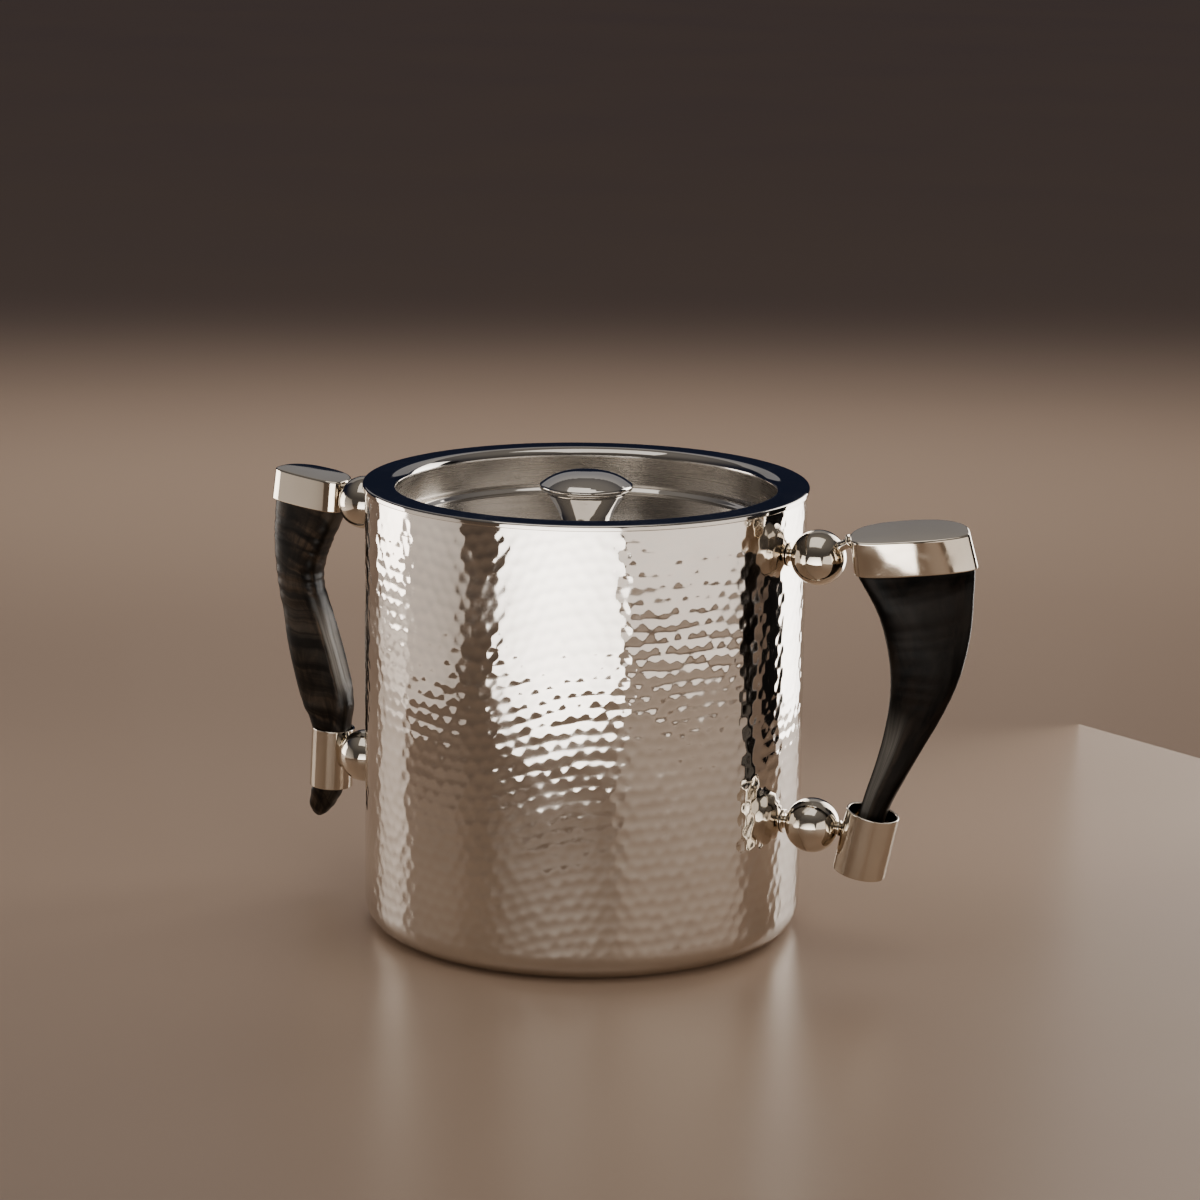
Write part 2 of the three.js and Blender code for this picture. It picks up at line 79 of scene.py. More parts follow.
# ------------------------------------------------------------------ surfaces
@dataclass
class Surface:
    """A grid of points, rows by columns, that becomes one mesh.

    The columns always go round and close. The rows close on each other if ring is set;
    otherwise each end is closed by a fan to its pole. Values holds the mesh's own
    attributes by name, with one number per point or one per row.
    """

    points: np.ndarray
    ring: bool = False
    start: np.ndarray | None = None
    end: np.ndarray | None = None
    values: dict[str, np.ndarray] = field(default_factory=dict)

    def _quads(self) -> np.ndarray:
        """Numbers the corners of every quad, wrapped round the columns.

        Returns:
            Four point numbers per quad.
        """
        rows, cols = self.points.shape[:2]
        spans = rows if self.ring else rows - 1
        r, c = np.meshgrid(np.arange(spans), np.arange(cols), indexing="ij")
        r2, c2 = (r + 1) % rows, (c + 1) % cols
        return np.stack([r * cols + c, r * cols + c2, r2 * cols + c2, r2 * cols + c], -1).reshape(-1, 4)

    def _chart(self) -> np.ndarray:
        """Unrolls the quads: distance round is u and distance along is v.

        Returns:
            The UV of each corner of each quad, in the points' own units.
        """
        rows, cols = self.points.shape[:2]
        spans = rows if self.ring else rows - 1
        ahead = np.roll(self.points, -1, 0)
        step = np.linalg.norm(ahead - self.points, axis=2).mean(1)
        along = np.concatenate([[0.0], np.cumsum(step)])[: spans + 1]
        girth = np.linalg.norm(np.roll(self.points, -1, 1) - self.points, axis=2).sum(1).max()
        around = np.linspace(0.0, girth, cols + 1)
        r, c = np.meshgrid(np.arange(spans), np.arange(cols), indexing="ij")
        corners = [(c, r), (c + 1, r), (c + 1, r + 1), (c, r + 1)]
        return np.stack([np.stack([around[i], along[j]], -1) for i, j in corners], 2).reshape(-1, 2)

    def _faces(self) -> tuple[np.ndarray, np.ndarray, np.ndarray, np.ndarray]:
        """Lists every face: the quads, then a fan of triangles round each pole.

        Returns:
            The points with the poles added, the faces' corner numbers in a row, the
            number of corners of each face, and the UV of each corner.
        """
        rows, cols = self.points.shape[:2]
        points = self.points.reshape(-1, 3)
        corners, chart = [self._quads().ravel()], [self._chart()]
        sizes = [np.full(len(corners[0]) // 4, 4)]
        for pole, row in ((self.start, 0), (self.end, rows - 1)):
            if pole is None:
                continue
            tip = np.full(cols, len(points))
            points = np.vstack([points, pole])
            edge = row * cols + np.arange(cols)
            ahead = row * cols + (np.arange(cols) + 1) % cols
            fan = (tip, ahead, edge) if row == 0 else (tip, edge, ahead)
            corners.append(np.stack(fan, -1).ravel())
            sizes.append(np.full(cols, 3))
            chart.append(np.tile(chart[0][0 if row == 0 else -1], (3 * cols, 1)))
        return points, np.concatenate(corners), np.concatenate(sizes), np.vstack(chart)

    def build(self, name: str, crease: float = 40.0) -> bpy.types.Object:
        """Makes the mesh object, turned outwards and smooth-shaded.

        Args:
            name: The piece's name.
            crease: Edges sharper than this many degrees stay sharp.

        Returns:
            The new object, at the origin with its place in its mesh.
        """
        rows, cols = self.points.shape[:2]
        points, loops, counts, chart = self._faces()
        starts = np.concatenate([[0], np.cumsum(counts)[:-1]])
        mesh = bpy.data.meshes.new(name)
        mesh.vertices.add(len(points))
        mesh.vertices.foreach_set("co", (points * MM).astype(np.float32).ravel())
        mesh.loops.add(len(loops))
        mesh.loops.foreach_set("vertex_index", loops.astype(np.int32))
        mesh.polygons.add(len(counts))
        mesh.polygons.foreach_set("loop_start", starts.astype(np.int32))
        mesh.polygons.foreach_set("use_smooth", np.ones(len(counts), bool))
        uv = mesh.uv_layers.new(name="UVMap")
        uv.data.foreach_set("uv", (chart * MM).astype(np.float32).ravel())
        mesh.update(calc_edges=True)
        for key, grid in self.values.items():
            spread = np.zeros(len(points), np.float32)
            spread[: rows * cols] = np.broadcast_to(grid, (rows, cols)).ravel()
            spread[rows * cols:] = spread[rows * cols - 1]
            mesh.attributes.new(key, "FLOAT", "POINT").data.foreach_set("value", spread)
        if self._inside_out(mesh):
            mesh.flip_normals()
        mesh.set_sharp_from_angle(angle=math.radians(crease))
        made = bpy.data.objects.new(name, mesh)
        bpy.context.scene.collection.objects.link(made)
        return made

    @staticmethod
    def _inside_out(mesh: bpy.types.Mesh) -> bool:
        """Tells which way a closed mesh's faces point, by the sign of its volume.

        Args:
            mesh: The mesh.

        Returns:
            True if they point inwards.
        """
        count = len(mesh.polygons)
        normal, centre, area = np.zeros(count * 3), np.zeros(count * 3), np.zeros(count)
        mesh.polygons.foreach_get("normal", normal)
        mesh.polygons.foreach_get("center", centre)
        mesh.polygons.foreach_get("area", area)
        return float(((normal * centre).reshape(-1, 3).sum(1) * area).sum()) < 0


def eased(share: np.ndarray) -> np.ndarray:
    """Holds a share between 0 and 1 and eases both its ends: share^2 (3 - 2 share)."""
    held = np.clip(share, 0, 1)
    return held**2 * (3 - 2 * held)


def round_about(angle: np.ndarray, at: float, width: float) -> np.ndarray:
    """A soft bump round one angle: exp(-(difference / width)^2).

    Args:
        angle: Angles in degrees.
        at: The angle that it stands on.
        width: Its half width in degrees.

    Returns:
        1 at that angle, falling to 0 on both sides.
    """
    return np.exp(-(((angle - at + 180) % 360 - 180) / width) ** 2)


def unit(vectors: np.ndarray) -> np.ndarray:
    """Scales vectors to a length of 1, along their last axis."""
    return vectors / np.linalg.norm(vectors, axis=-1, keepdims=True)


def arc(centre: Sequence[float], radius: float | Sequence[float], start: float, end: float,
        steps: int = 8) -> np.ndarray:
    """Points of a circular or elliptical arc in the (radius, height) plane.

    Args:
        centre: The arc's centre.
        radius: One radius, or the two of an ellipse.
        start: First angle in degrees.
        end: Last angle in degrees.
        steps: Number of equal steps between them.

    Returns:
        steps + 1 points, each centre + (rx cos, ry sin) of its angle.
    """
    angle = np.radians(np.linspace(start, end, steps + 1))
    rx, ry = np.broadcast_to(radius, 2)
    return np.stack([centre[0] + rx * np.cos(angle), centre[1] + ry * np.sin(angle)], -1)


def line(start: Sequence[float], end: Sequence[float], steps: int = 1) -> np.ndarray:
    """Equally spaced points from start to end, both included."""
    return np.linspace(start, end, steps + 1)


def joined(*runs: Sequence[Sequence[float]] | np.ndarray, support: float = 0.18) -> np.ndarray:
    """Joins runs of profile points and keeps flats flat right up to their corners.

    Points that repeat are dropped. Each straight longer than four supports gets one
    more point a support's length in from each of its ends.

    Args:
        runs: Point lists, in order.
        support: That length in millimetres.

    Returns:
        The profile, n by 2.
    """
    points = np.vstack([np.atleast_2d(np.asarray(run, float)) for run in runs])
    keep = np.r_[True, np.linalg.norm(np.diff(points, axis=0), axis=1) > 1e-6]
    points = points[keep]
    span = np.diff(points, axis=0)
    length = np.linalg.norm(span, axis=1)
    made = [points[:1]]
    for here, there, way, size in zip(points[:-1], points[1:], span, length):
        if size > 4 * support:
            made += [here[None] + way * support / size, there[None] - way * support / size]
        made.append(there[None])
    return np.vstack(made)


def smoothed(stations: np.ndarray, steps: int) -> np.ndarray:
    """Runs a smooth curve through stations of any shape.

    Between two stations it is the cubic whose slope at each of them is half the way
    from the station before it to the station after it.

    Args:
        stations: The stations, one per row.
        steps: Steps from each to the next.

    Returns:
        The curve's points, the last station included.
    """
    ends = np.concatenate([2 * stations[:1] - stations[1:2], stations, 2 * stations[-1:] - stations[-2:-1]])
    a, b, c, d = ends[:-3], ends[1:-2], ends[2:-1], ends[3:]
    t = (np.arange(steps) / steps).reshape(1, -1, *([1] * (stations.ndim - 1)))
    a, b, c, d = (x[:, None] for x in (a, b, c, d))
    curve = 0.5 * (2 * b + (c - a) * t + (2 * a - 5 * b + 4 * c - d) * t**2 + (3 * b - 3 * c + d - a) * t**3)
    return np.concatenate([curve.reshape(-1, *stations.shape[1:]), stations[-1:]])


def revolved(profile: np.ndarray, segments: int, ring: bool = False) -> Surface:
    """Turns a profile about +Z: each point goes round as (r cos, r sin, z).

    Args:
        profile: Radius and height, n by 2. Its ends may lie on the axis.
        segments: Steps round the axis.
        ring: True if the profile closes on itself.

    Returns:
        The surface, with poles where the profile meets the axis.
    """
    start = end = None
    if not ring:
        start = np.array([0.0, 0.0, profile[0, 1]])
        end = np.array([0.0, 0.0, profile[-1, 1]])
        profile = profile[1 if profile[0, 0] < 1e-6 else 0: -1 if profile[-1, 0] < 1e-6 else None]
    turn = np.arange(segments) * 2 * math.pi / segments
    r, z = profile[:, :1], profile[:, 1:]
    points = np.stack([r * np.cos(turn), r * np.sin(turn), np.broadcast_to(z, (len(z), segments))], -1)
    return Surface(points, ring, start, end)


def aimed(surface: Surface, origin: Sequence[float], axis: Sequence[float]) -> Surface:
    """Moves a surface made along +Z.

    Args:
        surface: The surface, which is changed.
        origin: Where its own origin goes.
        axis: The direction that its +Z takes.

    Returns:
        The same surface.
    """
    turn = np.array(Vector((0, 0, 1)).rotation_difference(Vector(axis)).to_matrix())
    surface.points = surface.points @ turn.T + np.asarray(origin)
    if not surface.ring:
        surface.start = surface.start @ turn.T + np.asarray(origin)
        surface.end = surface.end @ turn.T + np.asarray(origin)
    return surface


def millimetres(node: str) -> tuple[np.ndarray, np.ndarray]:
    """Lowest and highest corner of a node of the frame, in millimetres."""
    low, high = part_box(node)
    return np.array(low) / MM, np.array(high) / MM


def settled(piece: bpy.types.Object, finish: bpy.types.Material, slot: Slot, body: Body,
            *nodes: str) -> bpy.types.Object:
    """Dresses a piece and ties it to the frame.

    Args:
        piece: The new piece.
        finish: Its material.
        slot: The record's slot for its finish; not used.
        body: The body that it moves with.
        nodes: The nodes of the frame that it stands for.

    Returns:
        The same piece.
    """
    piece.data.materials.append(finish)
    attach(piece, body.value)
    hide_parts(*nodes)
    LOG.info("%s: %d faces, %s, rides on %s", piece.name, len(piece.data.polygons), finish.name, body.value)
    return piece


# ------------------------------------------------------------------ node work
class Tree:
    """A short way to write a node tree: each call adds one node and links its inputs."""

    def __init__(self, tree: bpy.types.NodeTree) -> None:
        """Keeps the tree that the nodes go in."""
        self.tree = tree

    def node(self, kind: str, inputs: dict | None = None, **settings: object) -> bpy.types.Node:
        """Adds a node.

        Args:
            kind: The node's type, without the ShaderNode at its front.
            inputs: Input name or number to a value, or to an output to link from.
            settings: The node's own properties.

        Returns:
            The new node.
        """
        made = self.tree.nodes.new("ShaderNode" + kind)
        for key, value in settings.items():
            setattr(made, key, value)
        return self.feed(made, inputs or {})

    def feed(self, made: bpy.types.Node, inputs: dict) -> bpy.types.Node:
        """Links or sets a node's inputs.

        Args:
            made: The node.
            inputs: Input name or number to a value, or to an output to link from.

        Returns:
            The same node.
        """
        for key, value in inputs.items():
            if isinstance(value, bpy.types.NodeSocket):
                self.tree.links.new(value, made.inputs[key])
            else:
                made.inputs[key].default_value = value
        return made

    def attribute(self, key: str) -> bpy.types.NodeSocket:
        """Reads one of the mesh's own values."""
        return self.node("Attribute", attribute_name=key).outputs["Fac"]

    def math(self, operation: str, *values: object, clamp: bool = False) -> bpy.types.NodeSocket:
        """Adds a Math node.

        Args:
            operation: Its operation.
            values: A value or an output for each of its inputs, in order.
            clamp: True to hold the result between 0 and 1.

        Returns:
            Its result.
        """
        return self.node("Math", dict(enumerate(values)), operation=operation, use_clamp=clamp).outputs[0]

    def remap(self, value: bpy.types.NodeSocket, low: float, high: float, to_low: float = 0.0,
              to_high: float = 1.0) -> bpy.types.NodeSocket:
        """Maps one range onto another, held at both ends and eased between them.

        Args:
            value: The value.
            low: Where the first range starts.
            high: Where it ends.
            to_low: Where the second range starts.
            to_high: Where it ends.

        Returns:
            The mapped value.
        """
        inputs = {"Value": value, "From Min": low, "From Max": high, "To Min": to_low, "To Max": to_high}
        return self.node("MapRange", inputs, interpolation_type="SMOOTHSTEP").outputs["Result"]

    def mix(self, factor: object, first: object, second: object) -> bpy.types.NodeSocket:
        """Mixes two colours.

        Args:
            factor: The second colour's share, as a value or an output.
            first: The first colour, as three numbers or an output.
            second: The second colour.

        Returns:
            The colour.
        """
        made = self.node("Mix", data_type="RGBA")
        for place, value in ((0, factor), (6, first), (7, second)):
            if isinstance(value, bpy.types.NodeSocket):
                self.tree.links.new(value, made.inputs[place])
            else:
                made.inputs[place].default_value = value if place == 0 else (*value, 1.0)
        return made.outputs[2]

    def noise(self, vector: bpy.types.NodeSocket, scale: object, detail: float = 2.0,
              rough: float = 0.5, stretch: Sequence[float] = (1, 1, 1),
              warp: float = 0.0) -> bpy.types.NodeSocket:
        """Adds Noise on a vector.

        Args:
            vector: The coordinates.
            scale: Its scale, as a value or an output.
            detail: Number of finer layers.
            rough: How strongly the finer layers show.
            stretch: A factor for each axis, applied to the coordinates first.
            warp: Its distortion.

        Returns:
            Its value.
        """
        placed = self.node("Mapping", {"Vector": vector, "Scale": stretch}).outputs[0]
        inputs = {"Vector": placed, "Scale": scale, "Detail": detail, "Roughness": rough, "Distortion": warp}
        return self.node("TexNoise", inputs).outputs["Fac"]

    def bump(self, height: bpy.types.NodeSocket, depth: float, under: object = None) -> bpy.types.NodeSocket:
        """Adds a Bump.

        Args:
            height: The height, from 0 to 1.
            depth: What a height of 1 stands for, in metres.
            under: The normal of a bump under this one.

        Returns:
            Its normal.
        """
        inputs = {"Height": height, "Distance": depth, "Strength": 1.0}
        if under is not None:
            inputs["Normal"] = under
        return self.node("Bump", inputs).outputs[0]


class Group:
    """A shader node group with named inputs and outputs, made once and used by many."""

    def __init__(self, name: str, inputs: dict[str, object], outputs: Sequence[str]) -> None:
        """Makes the group's sockets.

        Args:
            name: The group's name.
            inputs: Input name to its first value, or to None for a vector.
            outputs: The names of its value outputs.
        """
        self.tree = bpy.data.node_groups.new(name, "ShaderNodeTree")
        for key, value in inputs.items():
            kind = "NodeSocketVector" if value is None else "NodeSocketFloat"
            made = self.tree.interface.new_socket(key, in_out="INPUT", socket_type=kind)
            if value is not None:
                made.default_value = value
        for key in outputs:
            self.tree.interface.new_socket(key, in_out="OUTPUT", socket_type="NodeSocketFloat")
        self.entry = self.tree.nodes.new("NodeGroupInput").outputs
        self.exit = self.tree.nodes.new("NodeGroupOutput").inputs
        self.draw = Tree(self.tree)

    def send(self, name: str, value: bpy.types.NodeSocket) -> None:
        """Links a value to one of the group's outputs."""
        self.tree.links.new(value, self.exit[name])

    def place(self, into: Tree, inputs: dict) -> bpy.types.NodeOutputs:
        """Puts the group in a material's tree.

        Args:
            into: The material's tree.
            inputs: Input name to a value, or to an output to link from.

        Returns:
            Its outputs.
        """
        made = into.tree.nodes.new("ShaderNodeGroup")
        made.node_tree = self.tree
        return into.feed(made, inputs).outputs


class Effects:
    """The effects that several finishes share."""

    def __init__(self) -> None:
        """Builds the groups."""
        self.handling = self._handling()
        self.spinning = self._spinning()
        self.growth = self._growth()

    @staticmethod
    def _handling() -> Group:
        """Works out finger marks, hairline scratches and a fine skin.

        Returns:
            The group, with the three as values.
        """
        group = Group("handling", {"Vector": None, "Cloud Scale": 30.0, "Hair Scale": 60.0},
                      ("Smudge", "Hairline", "Skin"))
        draw, vector = group.draw, group.entry["Vector"]
        cloud = draw.noise(vector, group.entry["Cloud Scale"], 4.0, 0.62, warp=0.6)
        group.send("Smudge", draw.remap(cloud, 0.46, 0.72))
        hairs = []
        for turn, stretch in (((0.4, 0.9, 0.2), (1, 34, 34)), ((1.9, 0.3, 1.1), (30, 1, 30))):
            placed = draw.node("Mapping", {"Vector": vector, "Rotation": turn}).outputs[0]
            band = draw.noise(placed, group.entry["Hair Scale"], 1.0, 0.5, stretch)
            away = draw.math("ABSOLUTE", draw.math("SUBTRACT", band, 0.5))
            hairs.append(draw.remap(away, 0.0, 0.012, 1.0, 0.0))
        patchy = draw.remap(draw.noise(vector, 55.0, 2.0), 0.5, 0.62)
        group.send("Hairline", draw.math("MULTIPLY", draw.math("MAXIMUM", *hairs), patchy))
        group.send("Skin", draw.noise(vector, 1400.0, 2.0, 0.6))
        return group

    @staticmethod
    def _spinning() -> Group:
        """Draws fine rings round the Z axis, as a lathe leaves them on walls and flats.

        Returns:
            The group, with the fine lines and broader bands as values.
        """
        group = Group("spinning", {"Vector": None, "Lines": 2500.0}, ("Lines", "Bands"))
        draw = group.draw
        parts = draw.node("SeparateXYZ", {0: group.entry["Vector"]}).outputs
        reach = draw.math("SQRT", draw.math("ADD", draw.math("POWER", parts[0], 2.0),
                                            draw.math("POWER", parts[1], 2.0)))
        turn = draw.math("ARCTAN2", parts[1], parts[0])
        slip = draw.math("MULTIPLY", turn, 0.0004)
        flat = draw.node("CombineXYZ", {0: reach, 1: parts[2], 2: slip}).outputs[0]
        group.send("Lines", draw.noise(flat, group.entry["Lines"], 3.0, 0.7))
        group.send("Bands", draw.noise(flat, 190.0, 2.0, 0.5))
        return group

    @staticmethod
    def _growth() -> Group:
        """Works out horn's own marks: long fibres, cross rings, mottle and cloud.

        Returns:
            The group, with the four as values.
        """
        group = Group("growth", {"Vector": None, "Ring Scale": 150.0, "Slant": 0.3},
                      ("Fibre", "Ring", "Mottle", "Cloud"))
        draw, vector = group.draw, group.entry["Vector"]
        group.send("Fibre", draw.noise(vector, 420.0, 4.0, 0.65, (1, 0.06, 1), 0.3))
        parts = draw.node("SeparateXYZ", {0: vector}).outputs
        slant = draw.math("MULTIPLY_ADD", parts[0], group.entry["Slant"], parts[1])
        drift = draw.math("MULTIPLY_ADD", draw.noise(vector, 60.0, 2.0), 0.006, slant)
        rings = draw.node("CombineXYZ", {1: drift}).outputs[0]
        group.send("Ring", draw.noise(rings, group.entry["Ring Scale"], 3.0, 0.6))
        group.send("Mottle", draw.noise(vector, 95.0, 5.0, 0.66, (1, 0.45, 1), 0.8))
        group.send("Cloud", draw.noise(vector, 34.0, 3.0, 0.5, (1, 0.6, 1), 0.4))
        return group


def blank(name: str) -> tuple[bpy.types.Material, Tree, bpy.types.Node]:
    """Makes a material that is only a Principled shader.

    Args:
        name: The material's name.

    Returns:
        The material, its tree and its shader.
    """
    made = bpy.data.materials.new(name)
    made.use_nodes = True
    return made, Tree(made.node_tree), made.node_tree.nodes["Principled BSDF"]


@dataclass(frozen=True)
class Metal:
    """A bare or plated metal with its polish, marks and waviness."""

    name: str
    bright: tuple[float, float, float]
    dull: tuple[float, float, float]
    polish: float
    smudge: float
    cloud: float = 30.0
    wave: float = 0.0
    wave_scale: float = 90.0
    skin: float = 1.5e-6
    spun: float = 0.0
    satin: float = 0.0

    def build(self, effects: Effects) -> bpy.types.Material:
        """Makes the material.

        Base colour drifts between bright and dull; roughness is polish plus smudges and
        hairlines; the normal carries the skin, the spun lines and the waves in turn.
        Where satin is set, the piece's own "satin" attribute brings in the satin wall.

        Args:
            effects: The shared groups.

        Returns:
            The material.
        """
        made, draw, shader = blank(self.name)
        place = draw.node("TexCoord").outputs["Object"]
        marks = effects.handling.place(draw, {"Vector": place, "Cloud Scale": self.cloud})
        drift = draw.noise(place, 14.0, 3.0)
        tone = draw.mix(draw.remap(drift, 0.35, 0.68), self.bright, self.dull)
        rough = draw.math("MULTIPLY_ADD", marks["Smudge"], self.smudge, self.polish)
        rough = draw.math("MULTIPLY_ADD", marks["Hairline"], self.smudge * 1.6, rough)
        normal = draw.bump(marks["Skin"], self.skin)
        if self.spun:
            rings = effects.spinning.place(draw, {"Vector": place})
            depth = rings["Lines"]
            if self.satin:
                share = draw.attribute("satin")
                ground = draw.math("MULTIPLY_ADD", rings["Lines"], 0.22, self.satin - 0.05)
                rough = draw.math("MULTIPLY_ADD", share, ground, rough)
                depth = draw.math("MULTIPLY", rings["Lines"], draw.math("MULTIPLY_ADD", share, 0.9, 0.1))
            normal = draw.bump(depth, self.spun, normal)
            normal = draw.bump(rings["Bands"], self.spun * 3, normal)
        if self.wave:
            normal = draw.bump(draw.noise(place, self.wave_scale, 1.0), self.wave, normal)
        draw.feed(shader, {"Metallic": 1.0, "Base Color": tone, "Roughness": rough, "Normal": normal})
        return made


@dataclass(frozen=True)
class Horn:
    """Satin-polished horn: base colours, bloom, rings, a painted highlight on the scooped face and a paler
    thin edge with a painted highlight along the ridge.
    """

    name: str
    dark: tuple[float, float, float]
    warm: tuple[float, float, float]
    bloom: tuple[float, float, float]
    # Painted highlight: this pale grey on the scooped face stands in for its sheen.
    painted_scoop_highlight: tuple[float, float, float]
    # Paler thin outer edge, with a painted highlight along the ridge.
    edge: tuple[float, float, float]
    bloom_share: float
    ring_share: float
    slant: float
    rough: float
    shine: float

    def build(self, effects: Effects) -> bpy.types.Material:
        """Makes the material.

        Dark and warm mix by the mottle, grey bloom lies over them in clouds, rings
        darken the growth lines, and three of the mesh's attributes bring in a painted highlight on
        the scooped face, the paler thin edge with a painted highlight along the ridge, and the strong growth
        lines.

        Args:
            effects: The shared groups.

        Returns:
            The material.
        """
        made, draw, shader = blank(self.name)
        draw.feed(shader, {"IOR": 1.54, "Coat Roughness": 0.22, "Specular IOR Level": self.shine})
        chart = draw.node("TexCoord").outputs["UV"]
        marks = effects.growth.place(draw, {"Vector": chart, "Slant": self.slant})
        painted_scoop_highlight, pale_edge_and_ridge_highlight, groove = (draw.attribute(key) for key in ("painted_scoop_highlight", "pale_edge_and_ridge_highlight", "line"))
        tone = draw.mix(draw.remap(marks["Mottle"], 0.36, 0.68), self.dark, self.warm)
        haze = draw.math("MULTIPLY", draw.remap(marks["Cloud"], 0.42, 0.7), self.bloom_share)
        tone = draw.mix(haze, tone, self.bloom)
        ring = draw.math("MULTIPLY", draw.remap(marks["Ring"], 0.4, 0.6), self.ring_share)
        tone = draw.mix(ring, tone, tuple(c * 0.35 for c in self.dark))
        streak = draw.remap(marks["Fibre"], 0.3, 0.75, 0.55, 1.0)
        # Painted highlight: the scooped face is lifted to a pale grey, streaked along the fibres.
        tone = draw.mix(draw.math("MULTIPLY", painted_scoop_highlight, streak), tone, self.painted_scoop_highlight)
        # Paler thin outer edge, plus a painted highlight along the ridge of the scooped face.
        tone = draw.mix(draw.math("MULTIPLY", pale_edge_and_ridge_highlight, draw.remap(marks["Mottle"], 0.25, 0.6)), tone, self.edge)
        tone = draw.mix(draw.math("MULTIPLY", groove, 0.8), tone, tuple(c * 0.2 for c in self.dark))
        rough = draw.math("MULTIPLY_ADD", marks["Fibre"], 0.18, self.rough - 0.09)
        rough = draw.math("MULTIPLY_ADD", haze, 0.12, rough)
        coat = draw.remap(marks["Cloud"], 0.3, 0.7, 0.02, 0.09)
        normal = draw.bump(marks["Fibre"], 6e-5)
        normal = draw.bump(marks["Ring"], 1.5e-4 * (0.3 + self.ring_share), normal)
        draw.feed(shader, {"Base Color": tone, "Roughness": rough, "Coat Weight": coat, "Normal": normal})
        return made


@dataclass(frozen=True)
class Paper:
    """A plain sheet: the pale floor, faintly glossy, or the dark felt of the board."""

    name: str = "pale_floor"
    tone: tuple[float, float, float] = (0.56, 0.425, 0.33)
    rough: float = 0.34

    def build(self) -> bpy.types.Material:
        """Makes the material: one tone with a slight cloud in colour and gloss.

        Returns:
            The material.
        """
        made, draw, shader = blank(self.name)
        cloud = draw.noise(draw.node("TexCoord").outputs["Object"], 3.0, 3.0)
        tone = draw.mix(cloud, self.tone, tuple(c * 0.95 for c in self.tone))
        rough = draw.remap(cloud, 0.2, 0.8, self.rough - 0.03, self.rough + 0.03)
        draw.feed(shader, {"Base Color": tone, "Roughness": rough})
        return made


class Finishes:
    """Every finish of the bucket, made once."""

    def __init__(self) -> None:
        """Builds the shared effects and the materials."""
        effects = Effects()
        steel, grey = (0.80, 0.765, 0.72), (0.72, 0.68, 0.635)
        nickel, warm = (0.77, 0.72, 0.64), (0.66, 0.60, 0.52)
        self.hammered = Metal("hammered_steel", steel, grey, 0.055, 0.10, 26.0, 2.2e-5, 55.0,
                              1.2e-6).build(effects)
        self.liner = Metal("spun_steel", (0.70, 0.665, 0.62), (0.60, 0.565, 0.52), 0.04, 0.06, 24.0,
                           spun=2.4e-6, satin=0.15).build(effects)
        self.mirror = Metal("mirror_steel", steel, grey, 0.035, 0.07, 34.0, 1.2e-5, 40.0,
                            spun=6e-7).build(effects)
        self.nickel = Metal("polished_nickel", nickel, warm, 0.05, 0.09, 60.0, 6e-5, 70.0).build(effects)
        self.zinc = Metal("zinc_plate", (0.62, 0.64, 0.66), (0.45, 0.46, 0.47), 0.34, 0.2, 120.0,
                          skin=8e-6).build(effects)
        # Each horn's pale grey for its scooped face is a painted highlight; its edge colour is a paler thin
        # edge plus a painted highlight along the ridge.
        self.dark_horn = Horn(
            "dark_horn", dark=(0.0020, 0.0017, 0.0015), warm=(0.017, 0.0115, 0.0082),
            bloom=(0.034, 0.031, 0.028), painted_scoop_highlight=(0.21, 0.20, 0.185), edge=(0.085, 0.068, 0.054),
            bloom_share=0.5, ring_share=0.15, slant=0.2, rough=0.37, shine=0.14,
        ).build(effects)
        self.ringed_horn = Horn(
            "ringed_horn", dark=(0.011, 0.008, 0.0062), warm=(0.084, 0.059, 0.041),
            bloom=(0.082, 0.072, 0.060), painted_scoop_highlight=(0.46, 0.44, 0.41), edge=(0.22, 0.15, 0.095),
            bloom_share=0.5, ring_share=0.78, slant=0.32, rough=0.36, shine=0.26,
        ).build(effects)


